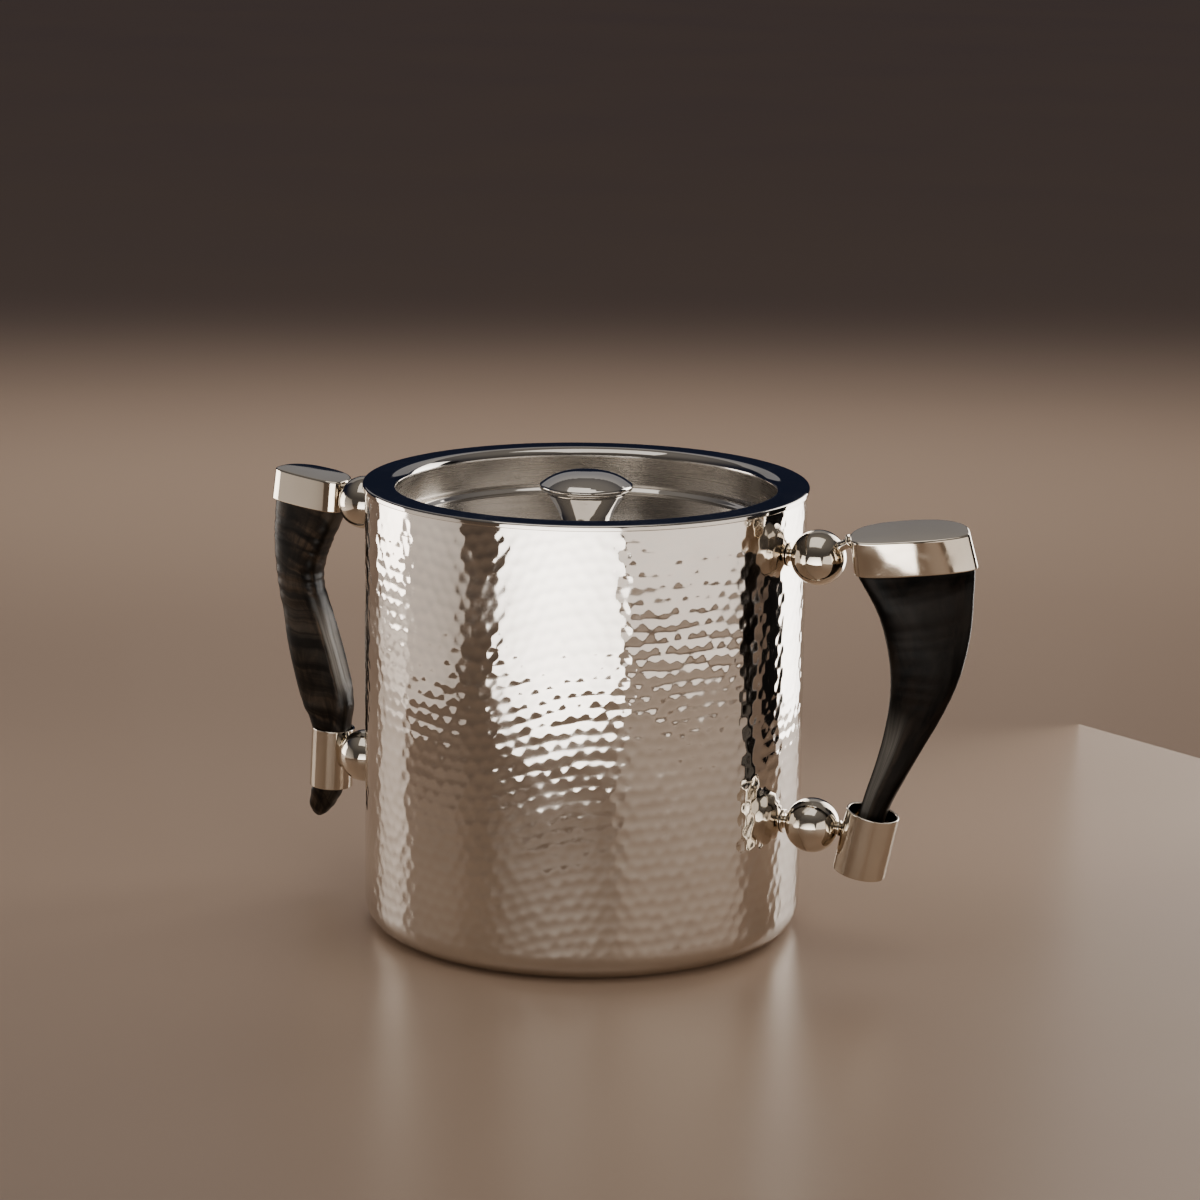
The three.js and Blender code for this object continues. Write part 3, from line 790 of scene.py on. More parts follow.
# ------------------------------------------------------------------ bucket
@dataclass
class HammeredShell:
    """The outer wall: a flat foot, a rounded corner and rows of hammered dimples."""

    foot_corner: float = 11.0
    sheet: float = 1.2
    edge: float = 0.45
    pitch: float = 6.15
    row_pitch: float = 5.3
    bowl: float = 0.0145
    uneven: float = 0.016
    middle: float = 0.055
    sway: float = 0.07
    bare_top: float = 4.0
    bare_foot: float = 5.0
    columns: int = 540
    seed: int = 7

    def _warp(self, turn: np.ndarray) -> np.ndarray:
        """How far the rows drift up and down as they go round: three slow sines."""
        return 7.0 * np.sin(turn * 2 + 2.6) + 2.2 * np.sin(turn * 5 + 0.7) + 1.0 * np.sin(turn * 9)

    def _dimples(self, turn: np.ndarray, height: np.ndarray, radius: float) -> np.ndarray:
        """Works out the hammered relief.

        Blows fall on staggered rows, each a little off its place and a little deeper or
        shallower than the next. Each leaves a bowl whose height is bowl times the
        squared distance from the blow, less its own extra depth; the surface is the
        soft least of the bowls near it, so bowls meet in fine ridges.

        Args:
            turn: Angle round the axis at each point.
            height: Height of each point.
            radius: The wall's radius.

        Returns:
            Height of the relief over the deepest bowl, in millimetres.
        """
        chance = np.random.default_rng(self.seed)
        count = round(2 * math.pi * radius / self.pitch)
        rows = 64
        off_u, off_v = chance.normal(0, 0.11, (2, rows, count))
        deep = chance.normal(0, self.uneven, (rows, count)) + chance.normal(0, self.uneven * 0.6, (rows, 1))
        swing = chance.uniform(0, 1, rows)
        down = height - self._warp(turn)
        place = turn / (2 * math.pi) * count
        row = np.floor(down / self.row_pitch).astype(int)
        total = np.zeros_like(down)
        sharp = 130.0
        for dr in (-1, 0, 1, 2):
            j = (row + dr) % rows
            lag = 0.5 * ((row + dr) % 2) + 0.12 * swing[j]
            column = np.floor(place - lag).astype(int)
            for dc in (-1, 0, 1, 2):
                i = column + dc
                u = (i + lag + off_u[j, i % count]) * self.pitch - place * self.pitch
                v = (row + dr + off_v[j, i % count]) * self.row_pitch - down
                total += np.exp(-sharp * (self.bowl * (u**2 + v**2) - deep[j, i % count]))
        return -np.log(total) / sharp

    def build(self, finish: bpy.types.Material, seats: Sequence[np.ndarray]) -> bpy.types.Object:
        """Makes the shell.

        The outside wall is the relief, less its middle height, over the nominal radius.
        It is faded out at the plain band under the lip, at the foot and round each
        ball's seat. The whole wall also sways slowly in and out, by the sum of a sine of
        four and a sine of seven turns that lean with the height.

        Args:
            finish: Its material.
            seats: Centres of the balls that stand off the wall.

        Returns:
            The piece.
        """
        low, high = millimetres("outer_shell")
        radius, top = float(high[0]), float(high[2])
        inner, corner = radius - self.sheet, self.foot_corner
        centre = (radius - corner, corner)
        wall = line((radius, corner), (radius, top - self.edge), 164)
        profile = np.vstack([
            [[0, 0], [radius * 0.5, 0], [radius - corner - 0.3, 0]],
            arc(centre, corner, -90, 0, 8)[:-1], wall,
            arc((radius - self.edge, top - self.edge), self.edge, 0, 90, 2)[1:],
            [[inner, top], [inner, corner]],
            arc(centre, corner - self.sheet, -20, -90, 1), [[0, self.sheet]],
        ])
        surface = revolved(profile, self.columns)
        points = surface.points
        turn = np.arctan2(points[..., 1], points[..., 0]) % (2 * math.pi)
        height = points[..., 2]
        reach = np.hypot(points[..., 0], points[..., 1])
        relief = self._dimples(turn, height, radius) - self.middle
        shown = eased((top - self.bare_top - height) / 2.2 + 0.5) * eased((height - self.bare_foot) / 7.0)
        for seat in seats:
            off = turn - math.atan2(seat[1], seat[0])
            away = np.hypot(radius * np.sin(off), height - seat[2])
            shown = np.where(np.cos(off) > 0, shown * eased((away - 5.4) / 3.0), shown)
        sway = self.sway * (np.sin(4 * turn + height / 37) + 0.7 * np.sin(7 * turn - height / 23 + 1.1))
        sway *= eased((top - height) / 20) * eased(height / 25)
        outside = (reach > radius - corner) & (np.arange(len(points))[:, None] <= len(wall) + 10)
        change = np.where(outside, relief * shown + sway, 0.0)
        surface.points[..., :2] *= ((reach + change) / reach)[..., None]
        return settled(surface.build("hammered_shell", 60), finish, Slot.HAMMERED, Body.BUCKET, "outer_shell")


@dataclass
class SpunLiner:
    """The inner wall, its lid ledge, the rolled mirror rim and the lip over the shell."""

    sheet: float = 1.0
    opening: float = 80.4
    ledge_depth: float = 21.4
    ledge_width: float = 4.6
    floor_corner: float = 18.0
    roll: float = 4.0
    lip_drop: float = 2.4
    lip_round: float = 0.9
    segments: int = 288

    def build(self, finish: bpy.types.Material) -> bpy.types.Object:
        """Makes the liner, one profile turned about the axis.

        Args:
            finish: Its material.

        Returns:
            The piece, with the value satin on its wall for the material.
        """
        low, high = millimetres("inner_liner")
        floor, top, outer = float(low[2]), float(high[2]), float(high[0])
        t, chamber, ledge = self.sheet, self.opening - self.ledge_width, top - self.ledge_depth
        round_floor = (chamber - self.floor_corner, floor + t + self.floor_corner)
        round_rim = (self.opening + self.roll, top - self.roll)
        lip = (outer - self.lip_round, top - self.lip_round)
        profile = joined(
            [[0, floor + t]], line((20, floor + t), (56, floor + t), 4),
            arc(round_floor, self.floor_corner, -90, 0, 14),
            arc((chamber + 0.6, ledge - 0.6), 0.6, 180, 90, 4),
            arc((self.opening - 0.5, ledge + 0.5), 0.5, -90, 0, 4),
            arc(round_rim, self.roll, 180, 90, 16),
            arc(lip, self.lip_round, 90, 0, 8),
            arc((outer - 0.25, top - self.lip_drop + 0.25), 0.25, 0, -90, 3),
            [[outer - t, top - self.lip_drop], [outer - t, top - t]],
            arc(round_rim, self.roll - t, 90, 180, 6),
            [[self.opening + t, ledge - t], [chamber + t, ledge - t]],
            arc(round_floor, self.floor_corner + t, 0, -90, 8), [[0, floor]],
        )
        surface = revolved(profile, self.segments)
        reach = np.hypot(surface.points[..., 0], surface.points[..., 1])
        height = surface.points[..., 2]
        rise = np.clip((round_rim[1] + 1.4 - height) / 0.8, 0, 1)
        surface.values["satin"] = np.where(reach < self.opening + 1.2, rise, 0.0)
        return settled(surface.build("spun_liner"), finish, Slot.SATIN, Body.BUCKET, "inner_liner")


# ------------------------------------------------------------------ lid
@dataclass
class SunkLid:
    """The inset lid: a pressed pan with a rounded step round its edge, and its knob."""

    sheet: float = 1.2
    step_width: float = 5.6
    step_height: float = 1.8
    screw_hole: float = 5.4
    knob_top: float = 20.0
    knob_dome: float = 6.3
    knob_neck: float = 10.6
    knob_foot: float = 11.6
    bead: float = 1.5
    segments: int = 288

    def pan(self, finish: bpy.types.Material) -> bpy.types.Object:
        """Makes the pan: an S-shaped rise, a rounded crest and a plain skirt.

        The rise is the floor's height plus the step times (1 - cos(pi share)) / 2.

        Args:
            finish: Its material.

        Returns:
            The piece.
        """
        low, high = millimetres("lid_pan")
        radius, seat, crest = float(high[0]), float(low[2]), float(high[2])
        floor, inner = crest - self.step_height, radius - self.step_width
        roll = self.step_width / 2
        sweep = np.linspace(0, 1, 15)[:, None]
        rise = np.hstack([inner + roll * sweep, floor + self.step_height * (1 - np.cos(math.pi * sweep)) / 2])
        under = rise[::-1] - [0.0, self.sheet]
        shoulder = arc((radius - roll, crest - 2.2), (roll, 2.2), 90, 0, 12)
        hole = self.screw_hole / 2
        profile = joined(
            [[hole, floor - self.sheet], [hole, floor]], line((24, floor), (inner - 1, floor), 5),
            rise, shoulder, arc((radius - 0.3, seat + 0.3), 0.3, 0, -90, 3), [[radius - self.sheet, seat]],
            arc((radius - roll, crest - 2.4), (roll - self.sheet, 1.2), 0, 90, 6), under,
        )
        surface = revolved(profile, self.segments, ring=True)
        return settled(surface.build("lid_pan_mirror"), finish, Slot.MIRROR, Body.LID, "lid_pan")

    def knob(self, finish: bpy.types.Material) -> bpy.types.Object:
        """Makes the knob: a foot, a flaring cone, a groove, a round edge and a dome.

        The cone's radius grows with its height's share to the power 1.25. The dome's
        height is 1 - (1 - share)^2.7 of its own, share being how far in a point lies.

        Args:
            finish: Its material.

        Returns:
            The piece.
        """
        low, high = millimetres("lid_knob")
        base, apex, top = float(low[2]), float(high[2]), self.knob_top
        edge = apex - self.knob_dome
        ends = np.array([[self.knob_neck, base + 2.6], [top - 3.3, edge - 3.5]])
        share = np.linspace(0, 1, 5)[:, None]
        flank = smoothed(ends[0] + (ends[1] - ends[0]) * np.hstack([share**1.25, share]), 8)
        round_edge = arc((top - self.bead, edge - 0.35), self.bead, -70, 58, 14)
        start = round_edge[-1]
        share = np.linspace(0, 1, 25)[1:, None]
        dome = np.hstack([start[0] * (1 - share), start[1] + (apex - start[1]) * (1 - (1 - share) ** 2.7)])
        profile = joined(
            [[0, base + 12]], [[2.6, base + 12], [2.6, base]], [[self.knob_foot - 0.3, base]],
            arc((self.knob_foot - 0.5, base + 0.6), 0.5, -60, 60, 6),
            arc((self.knob_neck + 1.1, base + 2.3), (1.1, 1.0), 230, 180, 4),
            flank, arc((top - 2.5, edge - 2.9), 0.75, 190, 95, 5), round_edge, dome, support=0.12,
        )
        surface = revolved(profile, 160)
        return settled(surface.build("lid_knob_mirror"), finish, Slot.MIRROR, Body.LID, "lid_knob")


# ------------------------------------------------------------------ handles
@dataclass
class HandleShape:
    """The sizes of one handle, in its own frame, from the upper ball's outermost point.

    Out is away from the bucket, side is to the left of out seen from above, up is up.
    A station is [out, side, up, broad, thick, twist].
    """

    side: str
    turn: float
    flat_side: int
    cap_start: tuple[float, float, float]
    cap_height: float
    broad: float
    thick: float
    twist: float
    rise: float
    lean: float
    flare: float
    slant: float
    neck_rise: float
    neck_swing: float
    ferrule_centre: tuple[float, float, float]
    ferrule_radius: float
    ferrule_lean: float
    stations: list[list[float]]
    ridge: float
    hollow_end: float
    hollow_depth: float
    hollow_from: float
    hollow_to: float
    lines: tuple[float, ...]


RIGHT = HandleShape(
    side="right", turn=0, flat_side=-1, cap_start=(1.6, 7.5, 6.6), cap_height=15, broad=50, thick=28,
    twist=25, rise=4.5, lean=8, flare=1.0, slant=1.8, neck_rise=30, neck_swing=-4,
    ferrule_centre=(12.4, 1, -119.5), ferrule_radius=11.2, ferrule_lean=12,
    stations=[
        [32.6, 7.4, -14.5, 41, 24, 25], [34.4, 7, -28.5, 35.4, 21.6, 25], [34.4, 5.8, -44, 29.2, 19, 23],
        [31.8, 4.6, -58.5, 23, 16.6, 20], [27.4, 3.2, -73.5, 17.4, 14, 14], [22.6, 2.2, -87, 13.8, 12.4, 8],
        [17.8, 1.4, -99.5, 11.6, 11.4, 4], [14.8, 1.1, -109.5, 10.8, 10.8, 0], [12.8, 1, -118, 10.2, 10.2, 0],
        [11.8, 1, -123.5, 8.6, 8.6, 0], [11.3, 1, -126.5, 4.6, 4.6, 0],
    ],
    ridge=268, hollow_end=188, hollow_depth=1.7, hollow_from=0.50, hollow_to=0.95, lines=(),
)

LEFT = HandleShape(
    side="left", turn=180, flat_side=1, cap_start=(1.2, -10, 2.2), cap_height=14, broad=36, thick=21.5,
    twist=-8, rise=5, lean=1, flare=0.5, slant=0.3, neck_rise=14, neck_swing=-38,
    ferrule_centre=(9.6, -7.5, -119), ferrule_radius=9.6, ferrule_lean=-3,
    stations=[
        [24, -9.6, -21, 26.8, 18.6, -8], [25.4, -9.2, -34, 21.2, 17.2, -8], [24.4, -9, -44, 19.8, 16.6, -6],
        [21.9, -8.8, -52.5, 21, 16.4, -4], [19.4, -8.5, -62, 23.3, 16.2, -2],
        [16.8, -8.2, -71, 24.2, 16.2, 0], [14.2, -8, -80, 24.6, 16, 0], [11.9, -7.8, -88, 24.4, 15.6, 0],
        [10.1, -7.6, -95, 22.4, 15.4, 0], [9.2, -7.5, -100, 19.4, 15.2, 0],
        [9.1, -7.5, -105.5, 16.6, 15, 0], [9.6, -7.5, -119, 14.4, 13.8, 0], [10.4, -7.5, -131, 13, 12.6, 0],
        [12.8, -7.5, -137, 12, 11.6, 0], [15.6, -7.5, -143, 9, 8.8, 0], [17, -7.5, -146.2, 4.4, 4.4, 0],
    ],
    ridge=232, hollow_end=150, hollow_depth=2.4, hollow_from=0.34, hollow_to=0.68, lines=(0.16, 0.20),
)


@dataclass
class Handle:
    """One handle: two balls and their studs, necks, a cap, a horn and a ferrule."""

    shape: HandleShape
    finishes: Finishes
    wall: float = 1.2
    fit: float = 0.3
    corner: float = 0.85
    ferrule_wall: float = 1.0
    ferrule_length: float = 27.0
    count: int = 168

    def node(self, part: str) -> str:
        """The frame's name for one of this handle's parts."""
        return f"{self.shape.side}_{part}"

    def world(self, points: np.ndarray) -> np.ndarray:
        """Turns points from the handle's frame, on the bucket's axis, into the row frame."""
        turn = math.radians(self.shape.turn)
        return np.asarray(points, float) @ np.array(Matrix.Rotation(turn, 3, "Z")).T

    def ball(self, level: str) -> tuple[np.ndarray, float]:
        """Centre and radius of a ball, in the row frame."""
        low, high = millimetres(self.node(f"{level}_ball"))
        return (low + high) / 2, float(high[2] - low[2]) / 2

    def held(self, offset: Sequence[float]) -> np.ndarray:
        """A place given from the upper ball's outermost point, in the handle's frame."""
        centre, radius = self.ball("upper")
        return np.array([abs(centre[0]) + radius, 0.0, centre[2]]) + np.asarray(offset[:3], float)

    def cap_centre(self) -> np.ndarray:
        """The cap's middle, half its width out from the middle of its inner end."""
        out, side, up = self.shape.cap_start
        return self.held((out + self.shape.broad / 2, side, up))

    def outline(self, broad: np.ndarray, thick: np.ndarray) -> np.ndarray:
        """The D section: one flat side, one bowed side and softened corners.

        Args:
            broad: Widths, one per ring.
            thick: Thicknesses, one per ring.

        Returns:
            Rings by count by 2: along = sign(cos)|cos|^0.82 times half the width, and
            across = the bowed or flattened sine, centred, times the thickness.
        """
        angle = np.arange(self.count) * 2 * math.pi / self.count
        c, s = np.cos(angle), np.sin(angle)
        bow = np.where(s >= 0, np.abs(s) ** 0.9, -(np.abs(s) ** 0.45) * 0.62)
        along = np.sign(c) * np.abs(c) ** 0.82 / 2
        across = -self.shape.flat_side * (bow - 0.19) / 1.62
        return np.stack([np.outer(broad, along), np.outer(thick, across)], -1)

    def cap_rings(self, runs: np.ndarray) -> np.ndarray:
        """Stacks rings of the D section in the cap's shape.

        Each ring is flared with its height and drawn in by its inset, then the stack
        is turned by the cap's twist, rise and lean.

        Args:
            runs: Inset from the outside and height over the lower rim, n by 2.

        Returns:
            The rings, in the handle's frame.
        """
        s = self.shape
        inset, z = runs[:, 0], runs[:, 1]
        spread = 2 * (s.flare * (0.5 - z / s.cap_height) - inset)
        flat = self.outline(s.broad + spread, s.thick + spread)
        slant = (s.slant * (0.5 - z / s.cap_height))[:, None]
        rings = np.stack([flat[..., 0] + slant, flat[..., 1],
                          np.broadcast_to((z - s.cap_height / 2)[:, None], flat.shape[:2])], -1)
        axes = Matrix.Identity(3)
        for degrees, axis in ((s.twist, "Z"), (-s.rise, "Y"), (-s.lean * s.flat_side, "X")):
            axes = axes @ Matrix.Rotation(math.radians(degrees), 3, axis)
        return rings @ np.array(axes).T + self.cap_centre()

    def plated(self, surface: Surface, part: str, crease: float = 40.0) -> bpy.types.Object:
        """Makes one of the handle's nickel pieces.

        Args:
            surface: Its surface.
            part: The part that it stands for.
            crease: Edges sharper than this many degrees stay sharp.

        Returns:
            The piece.
        """
        made = surface.build(self.node(f"{part}_nickel"), crease)
        return settled(made, self.finishes.nickel, Slot.NICKEL, Body.BUCKET, self.node(part))

    def make_cap(self) -> bpy.types.Object:
        """Makes the nickel cup over the horn's broad end.

        Its top is domed: the last ring shrinks to its middle while it rises by 0.35 mm
        times 1 - (1 - share)^2.

        Returns:
            The piece.
        """
        height, r = self.shape.cap_height, self.corner
        ceiling = height - self.wall
        corner = arc((r, height - r), r, 180, 90, 7)
        runs = np.vstack([
            [[self.wall + 3, ceiling], [self.wall + 0.8, ceiling], [self.wall, ceiling - 0.8]],
            [[self.wall, 0.2], [self.wall - 0.15, 0.03], [0.25, 0.0], [0.07, 0.07], [0.0, 0.25], [0.0, 0.6]],
            line((0, 3), (0, height - r - 0.3), 3), corner, [[r + 0.25, height + 0.01]],
        ])
        outer = self.cap_rings(runs)
        last = outer[-1:]
        middle = last.mean(1, keepdims=True)
        up = unit(outer[-1].mean(0) - outer[5].mean(0))
        shrink = np.linspace(0.04, 0.96, 14)[:, None, None]
        crown = last + (middle - last) * shrink + up * 0.35 * (1 - (1 - shrink) ** 2)
        surface = Surface(self.world(np.concatenate([outer, crown])), start=self.world(outer[0].mean(0)),
                          end=self.world(crown[-1].mean(0) + up * 0.002))
        return self.plated(surface, "cap", 50)

    def _horn_rings(self) -> np.ndarray:
        """Lays out the horn's control rings, from inside the cap down to its tip.

        Each station's ring stands square to the way from the station before it to the
        one after it, and is turned about that way by its twist.

        Returns:
            The rings, in the handle's frame.
        """
        s = self.shape
        side, top = self.wall + self.fit, s.cap_height - self.wall - self.fit
        inside = self.cap_rings(np.array([[side + 2, top], [side, top - 1.2], [side, 0], [side, -1.5]]))
        stations = np.array(s.stations, float)
        centres = np.array([self.held(station) for station in stations])
        before = np.vstack([self.cap_centre(), centres[:-1]])
        after = np.vstack([centres[1:], centres[-1:]])
        along = unit(before - after)
        twist = np.radians(stations[:, 5])
        wide = np.stack([np.cos(twist), np.sin(twist), np.zeros_like(twist)], -1)
        wide = unit(wide - along * (wide * along).sum(1, keepdims=True))
        deep = np.cross(along, wide)
        flat = self.outline(stations[:, 3], stations[:, 4])
        rings = centres[:, None] + wide[:, None] * flat[..., :1] + deep[:, None] * flat[..., 1:]
        return np.concatenate([inside, rings])

    def make_horn(self) -> bpy.types.Object:
        """Makes the horn.

        Control rings are joined by a smooth curve. The scooped face is cut in between
        the ridge and its far edge: depth times a parabola across and a soft window
        along. Growth rings stand up as low waves and the strong lines are cut as grooves.

        Returns:
            The piece, with values for its material: a painted highlight on the scooped face, the paler thin
                edge with a painted highlight along the ridge, and the growth lines.
        """
        s = self.shape
        rings = smoothed(self._horn_rings(), 14)
        middle = rings.mean(1)
        walk = np.r_[0, np.cumsum(np.linalg.norm(np.diff(middle, axis=0), axis=1))]
        down = (walk / walk[-1])[:, None]
        angle = np.degrees(np.arange(self.count) * 2 * math.pi / self.count)[None]
        share = np.clip((s.ridge - angle) / (s.ridge - s.hollow_end), 0, 1)
        bowl = 4 * share * (1 - share)
        window = eased((down - s.hollow_from) / 0.16) * eased((s.hollow_to - down) / 0.08)
        radial = rings - middle[:, None]
        radial /= np.maximum(np.linalg.norm(radial, axis=2, keepdims=True), 1e-6)
        scoop = s.hollow_depth * bowl**0.85 * window
        slanted = down + 0.012 * np.cos(np.radians(angle - 20))
        grooves = np.zeros_like(slanted)
        for place in s.lines:
            grooves += np.exp(-(((slanted - place) / 0.0055) ** 2))
        ripple = 0.13 * np.sin(slanted * 160 + 1.4 * np.sin(slanted * 41)) * (0.25 if not s.lines else 1.0)
        ripple = ripple * eased((down - 0.1) / 0.05) * (1 - window)
        rings = rings + radial * (ripple - scoop - 0.5 * grooves)[..., None]
        tip = middle[-1] + unit(middle[-1] - middle[-6]) * 1.1
        out = (tip - middle[-1]) * 0.3
        ends = np.array([rings[-1] + (tip - rings[-1]) * step + out * swell
                         for step, swell in ((0.25, 0.55), (0.5, 0.85), (0.75, 0.97))])
        surface = Surface(self.world(np.concatenate([rings, ends])), start=self.world(middle[0]),
                          end=self.world(tip + out))
        # Paler thin outer edge at angle 0, and a painted highlight along the ridge over the scooped stretch.
        edge_and_ridge_highlight = np.maximum(round_about(angle, 0, 9), 0.75 * round_about(angle, s.ridge, 5) * window)
        # These values place the painted highlight on the scooped face, the paler edge with its painted ridge
        # highlight, and the grooves.
        marks = {"painted_scoop_highlight": eased(bowl * 1.6) * window, "pale_edge_and_ridge_highlight": edge_and_ridge_highlight, "line": grooves}
        rest = np.zeros((len(ends), self.count))
        for key, grid in marks.items():
            whole = np.broadcast_to(grid, (len(rings), self.count))
            surface.values[key] = np.concatenate([whole, rest])
        finish, slot = self.finishes.ringed_horn, Slot.RINGED_HORN
        if s.side == "right":
            finish, slot = self.finishes.dark_horn, Slot.DARK_HORN
        made = surface.build(self.node("horn_carved"), 70)
        return settled(made, finish, slot, Body.BUCKET, self.node("horn"))

    def make_ferrule(self) -> bpy.types.Object:
        """Makes the open sleeve: a closed profile turned about an axis that leans.

        Returns:
            The piece.
        """
        s, half = self.shape, self.ferrule_length / 2
        outer, bore = s.ferrule_radius, s.ferrule_radius - self.ferrule_wall
        r = self.ferrule_wall * 0.34
        profile = joined(
            line((outer, -half + r), (outer, half - r), 4), arc((outer - r, half - r), r, 0, 90, 4),
            arc((bore + r, half - r), r, 90, 180, 4), arc((bore + r, -half + r), r, 180, 270, 4),
            arc((outer - r, -half + r), r, 270, 350, 4),
        )
        lean = math.radians(s.ferrule_lean)
        surface = aimed(revolved(profile, 120, ring=True), self.held(s.ferrule_centre),
                        (math.sin(lean), 0, math.cos(lean)))
        surface.points = self.world(surface.points)
        return self.plated(surface, "ferrule")

    def make_ball(self, level: str) -> bpy.types.Object:
        """Makes a polished ball: a half circle turned about the stud's axis.

        Args:
            level: Upper or lower.

        Returns:
            The piece.
        """
        centre, radius = self.ball(level)
        profile = arc((0, 0), radius, -90, 90, 64)
        profile[0, 0] = profile[-1, 0] = 0.0
        surface = aimed(revolved(profile, 120), centre, self.world([1, 0, 0]))
        return self.plated(surface, f"{level}_ball")

    def make_stud(self, level: str, shell: float) -> bpy.types.Object:
        """Makes the stud with the shaped collar that shows between ball and wall.

        Args:
            level: Upper or lower.
            shell: The shell's radius.

        Returns:
            The piece, a profile turned about the stud's axis.
        """
        low, high = millimetres(self.node(f"{level}_stud"))
        centre, _ = self.ball(level)
        near, far = sorted((abs(low[0]), abs(high[0])))
        seat = shell + 0.02
        profile = joined(
            [[0, near], [2.1, near], [2.5, near + 0.4], [2.5, seat], [4.6, seat]],
            arc((4.7, seat + 0.35), 0.3, -80, 80, 6), arc((3.3, seat + 1.5), (1.0, 0.8), 270, 180, 4),
            [[2.5, seat + 2.2], [2.5, far], [0, far]], support=0.08,
        )
        surface = aimed(revolved(profile, 64), [0, 0, centre[2]], self.world([1, 0, 0]))
        return self.plated(surface, f"{level}_stud")

    def make_neck(self, level: str, aim: np.ndarray, collar_at: float) -> bpy.types.Object:
        """Makes a waisted neck with a rounded collar, flared where it meets each side.

        Args:
            level: Upper or lower.
            aim: Its direction from the ball's centre, in the row frame.
            collar_at: Where its collar stands, as a share of the bare neck.

        Returns:
            The piece, a profile turned about that direction.
        """
        centre, radius = self.ball(level)
        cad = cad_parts[self.node(f"{level}_neck")].data.vertices
        spots = np.array([v.co for v in cad]) / MM
        reach = (spots - centre) @ aim
        start, end = float(reach.min()), float(reach.max())
        bare = radius + (end - 0.8 - radius) * collar_at
        waist, flange = 2.1, 3.4
        root = np.array([[waist + 0.7, radius - 0.2], [waist + 0.1, radius + 0.25], [waist, bare - 0.8]])
        flare = np.array([[waist, bare + 0.8], [waist + 0.15, end - 0.7], [waist + 0.8, end - 0.1]])
        profile = joined(
            [[0, start - 0.3], [waist + 0.7, start - 0.3]], smoothed(root, 4),
            arc((flange - 0.55, bare), 0.55, -90, 90, 8), smoothed(flare, 4), [[0, end - 0.1]], support=0.08,
        )
        return self.plated(aimed(revolved(profile, 56), centre, aim), f"{level}_neck")

    def build(self, shell: float) -> None:
        """Makes every piece of the handle.

        Args:
            shell: The radius of the wall that its studs stand on.
        """
        s = self.shape
        self.make_cap()
        self.make_horn()
        self.make_ferrule()
        for level in ("upper", "lower"):
            self.make_ball(level)
            self.make_stud(level, shell)
        rise, swing = math.radians(s.neck_rise), math.radians(s.neck_swing)
        aim = [math.cos(rise) * math.cos(swing), math.cos(rise) * math.sin(swing), math.sin(rise)]
        self.make_neck("upper", self.world(aim), 0.8)
        sleeve = self.held(s.ferrule_centre) - [abs(self.ball("lower")[0][0]), 0, 0]
        self.make_neck("lower", self.world(unit(sleeve * [1, 1, 0])), 0.5)


@dataclass
class Fasteners:
    """The hidden washers, nuts and screw, which keep the frame's own shapes."""

    finish: bpy.types.Material

    def build(self) -> None:
        """Gives each of them the zinc finish."""
        for name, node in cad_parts.items():
            if name.endswith(("washer", "nut", "screw")):
                for place in node.material_slots:
                    place.material = self.finish
                LOG.info("%s keeps its shape, %s", name, self.finish.name)


# ------------------------------------------------------------------ studio
WARM = (1.0, 0.93, 0.86)


@dataclass
class SoftBox:
    """A flat light that faces the bucket, placed round it as seen from the camera.

    Bearing is measured from the camera's side, to the right as the camera sees it.
    Spread is the angle it shines into. Unless it is mirrored, no metal shows it.
    """

    name: str
    bearing: float
    distance: float
    height: float
    width: float
    tall: float
    power: float
    tone: tuple[float, float, float] = (1.0, 0.97, 0.93)
    aim_height: float = 0.1
    spread: float = 180.0
    mirrored: bool = True

    def build(self, heading: float) -> bpy.types.Object:
        """Makes the light.

        Args:
            heading: The camera's own direction from the bucket, in radians from +X.

        Returns:
            The light's object, which the camera doesn't see.
        """
        data = bpy.data.lights.new(self.name, "AREA")
        data.shape, data.size, data.size_y = "RECTANGLE", self.width, self.tall
        data.energy, data.color = self.power, self.tone
        data.spread = math.radians(self.spread)
        made = bpy.data.objects.new(self.name, data)
        bpy.context.scene.collection.objects.link(made)
        angle = heading + math.radians(self.bearing)
        made.location = (self.distance * math.cos(angle), self.distance * math.sin(angle), self.height)
        look = Vector((0, 0, self.aim_height)) - made.location
        made.rotation_euler = look.to_track_quat("-Z", "Y").to_euler()
        made.visible_camera = False
        made.visible_glossy = self.mirrored
        return made


